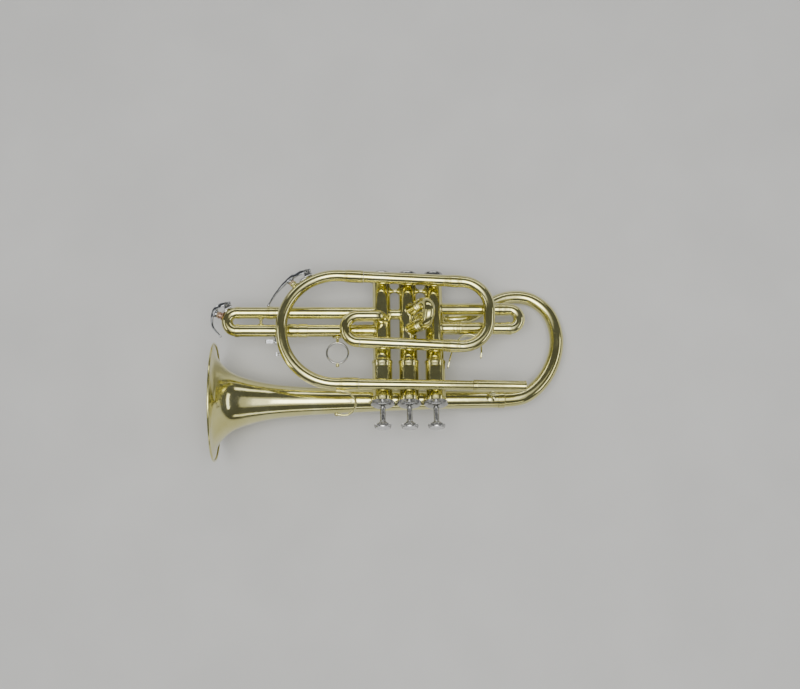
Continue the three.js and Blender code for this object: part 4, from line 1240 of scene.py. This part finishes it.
def key_lever(key):
    """The lever: a heel, a barrel on the pin, a tapering arm, the cork's cup and a bead at the tip."""
    length = 5.8
    end = [(0, 2.4), (0.6, 2.4), (0.8, 2.1), (2.8, 2.1)]
    outline = hollow(both_ends(end, length), plain(length, PIN_RADIUS + RUNNING), 0.2)
    hinge = on_bow(key, key["pivot"], HINGE_HEIGHT)
    barrel = turned(hinge - Z * (length / 2), Z, outline, sides=40)
    knots = [on_bow(key, angle, height) for angle, height in key["lever"]]
    arm = strap(smooth(*knots), LEVER)
    cup = [(5.8, 0), (5.8, 3.3), (6.1, 3.7), (7.3, 3.7), (7.8, 3.4), (8.8, 2.2), (10.6, 1.7), (11, 0)]
    bead = turned(knots[-1], knots[-1] - knots[-2], ball_outline(0, key["tip"]), sides=32)
    return joined(barrel, arm, over_drain(key, rounded(cup, 0.25)), bead)


def key_cork(key):
    return over_drain(key, rounded([(4, 0), (4, 2.9), (4.3, 3.1), (5.6, 3.1), (5.6, 0)], 0.2))


def key_spring(key):
    """Wire coiled round the barrel beside the arm, with one leg along the tube."""
    wire, radius, turns, rise, steps, leg = 0.32, 2.8, 2.5, 1.2, 60, 8
    start = on_bow(key, key["pivot"], HINGE_HEIGHT, 1.3)
    coil = coil_path(start, Z, outwards(key["pivot"]) * -radius, -turns, rise, steps)
    leg_end = coil.points[0] - coil.tangents[0] * leg
    path = Path([leg_end, *coil.points], [coil.tangents[0], *coil.tangents])
    return sweep(path, rounded_rod(path.length, wire), sides=12)


def add_water_key(name, key):
    body = BODY_OF[f"{name}_seat"]
    fine(f"{name}_seat", key_nipple(key), key["seat"])
    piece(f"{name}_hinge", key_hinge(key), "nickel", body)
    fine(f"{name}_cork", key_cork(key), "cork")
    fine(f"{name}_lever", key_lever(key), "chrome")
    piece(f"{name}_spring", key_spring(key), "steel", body)


# ---- the whole instrument ----

for valve_number in VALVE_X:
    add_valve(valve_number)
add_bell()
add_crook()
add_leadpipe()
add_receiver()
add_front_bow()
add_tuning_tubes()
add_entry_bow()
add_tuning_slide()
add_long_slide("first_slide", 1, X, FIRST_SLIDE, 30)
add_second_slide()
add_long_slide("third_slide", 3, -X, THIRD_SLIDE, 60, [(51, 9.2), (61.2, 9.4)], [third_slide_stay()])
add_thumb_saddle()
add_finger_ring()
add_slide_stop()
add_finger_hook()
add_lyre_holder()
add_receiver_brace()
add_water_key("bow_key", BOW_KEY)
add_water_key("slide_key", SLIDE_KEY)

# ---- floor, light and camera ----

LIGHT_COLOUR = (1.0, 0.99, 0.965)
SKY_COLOUR = (0.92, 0.95, 1.0)
SKY_STRENGTH = 0.12


def add_floor():
    """A plain pale floor, very slightly mottled, just under the instrument."""
    half_size, gap = 9.0, 0.0004
    mesh = bmesh.new()
    bmesh.ops.create_grid(mesh, x_segments=8, y_segments=8, size=half_size)
    data = bpy.data.meshes.new("floor")
    mesh.to_mesh(data)
    mesh.free()
    look = Look("pale_floor", Specular_IOR_Level=0.2)
    mottle = look.noise(same(0.01), 3)
    colour = look.ramp(mottle, (0.3, (0.58, 0.58, 0.57)), (0.7, (0.62, 0.62, 0.61)))
    roughness = look.remap(mottle, 0.3, 0.7, 0.75, 0.85)
    data.materials.append(look.finished(colour, roughness, look.bump(look.noise(same(0.4), 2), 0.01)))
    floor = bpy.data.objects.new("floor", data)
    floor.location.z = LOW.z - gap
    bpy.context.scene.collection.objects.link(floor)


def add_light(name, place, aim, width, length, power):
    data = bpy.data.lights.new(name, "AREA")
    data.shape = "RECTANGLE"
    data.size, data.size_y = width, length
    data.energy = power
    data.color = LIGHT_COLOUR
    light = bpy.data.objects.new(name, data)
    light.location = place
    direction = Vector(aim) - Vector(place)
    light.rotation_euler = direction.to_track_quat("-Z", "Y").to_euler()
    bpy.context.scene.collection.objects.link(light)


def add_lights():
    """Soft boxes nested overhead, so their reflection fades outwards, and dim strips round the sides."""
    top, apart = 1.75, 0.02
    for number, (width, length, power) in enumerate(((2.6, 1.8, 9), (1.8, 1.1, 8), (0.95, 0.66, 15))):
        place = (0, -0.14, top - apart * number)
        add_light(f"overhead_{number}", place, (0, 0, 0), width, length, power)
    middle = (0, 0, 0.05)
    add_light("back_strip", (0, 1.45, 0.75), middle, 2.2, 0.3, 5)
    add_light("front_strip", (0.1, -1.6, 0.5), middle, 2.0, 0.25, 2.5)
    add_light("left_strip", (-1.5, 0, 0.8), middle, 1.4, 0.3, 3.5)
    add_light("right_strip", (1.5, 0, 0.7), middle, 1.4, 0.3, 3.5)
    world = bpy.data.worlds.new("studio")
    world.use_nodes = True
    background = world.node_tree.nodes["Background"]
    background.inputs["Color"].default_value = (*SKY_COLOUR, 1)
    background.inputs["Strength"].default_value = SKY_STRENGTH
    bpy.context.scene.world = world


def add_camera():
    """Above the instrument as it lies, a little rolled about its length and raised at the bell."""
    roll, pitch = math.radians(17), math.radians(3.2)
    distance, towards_bell = 1.08, 0.0083
    up = -AXIS_Y * math.cos(roll) - AXIS_Z * math.sin(roll)
    across = AXIS_Y * math.sin(roll) - AXIS_Z * math.cos(roll)
    back = -AXIS_X * math.sin(pitch) + across * math.cos(pitch)
    right = up.cross(back)
    data = bpy.data.cameras.new("camera")
    data.lens = 48.6
    data.sensor_width = 36
    camera = bpy.data.objects.new("camera", data)
    place = ORIGIN - right * towards_bell + back * distance
    turn = Matrix((right, up, back)).transposed().to_4x4()
    camera.matrix_world = Matrix.Translation(place) @ turn
    bpy.context.scene.collection.objects.link(camera)
    bpy.context.scene.camera = camera


add_floor()
add_lights()
add_camera()
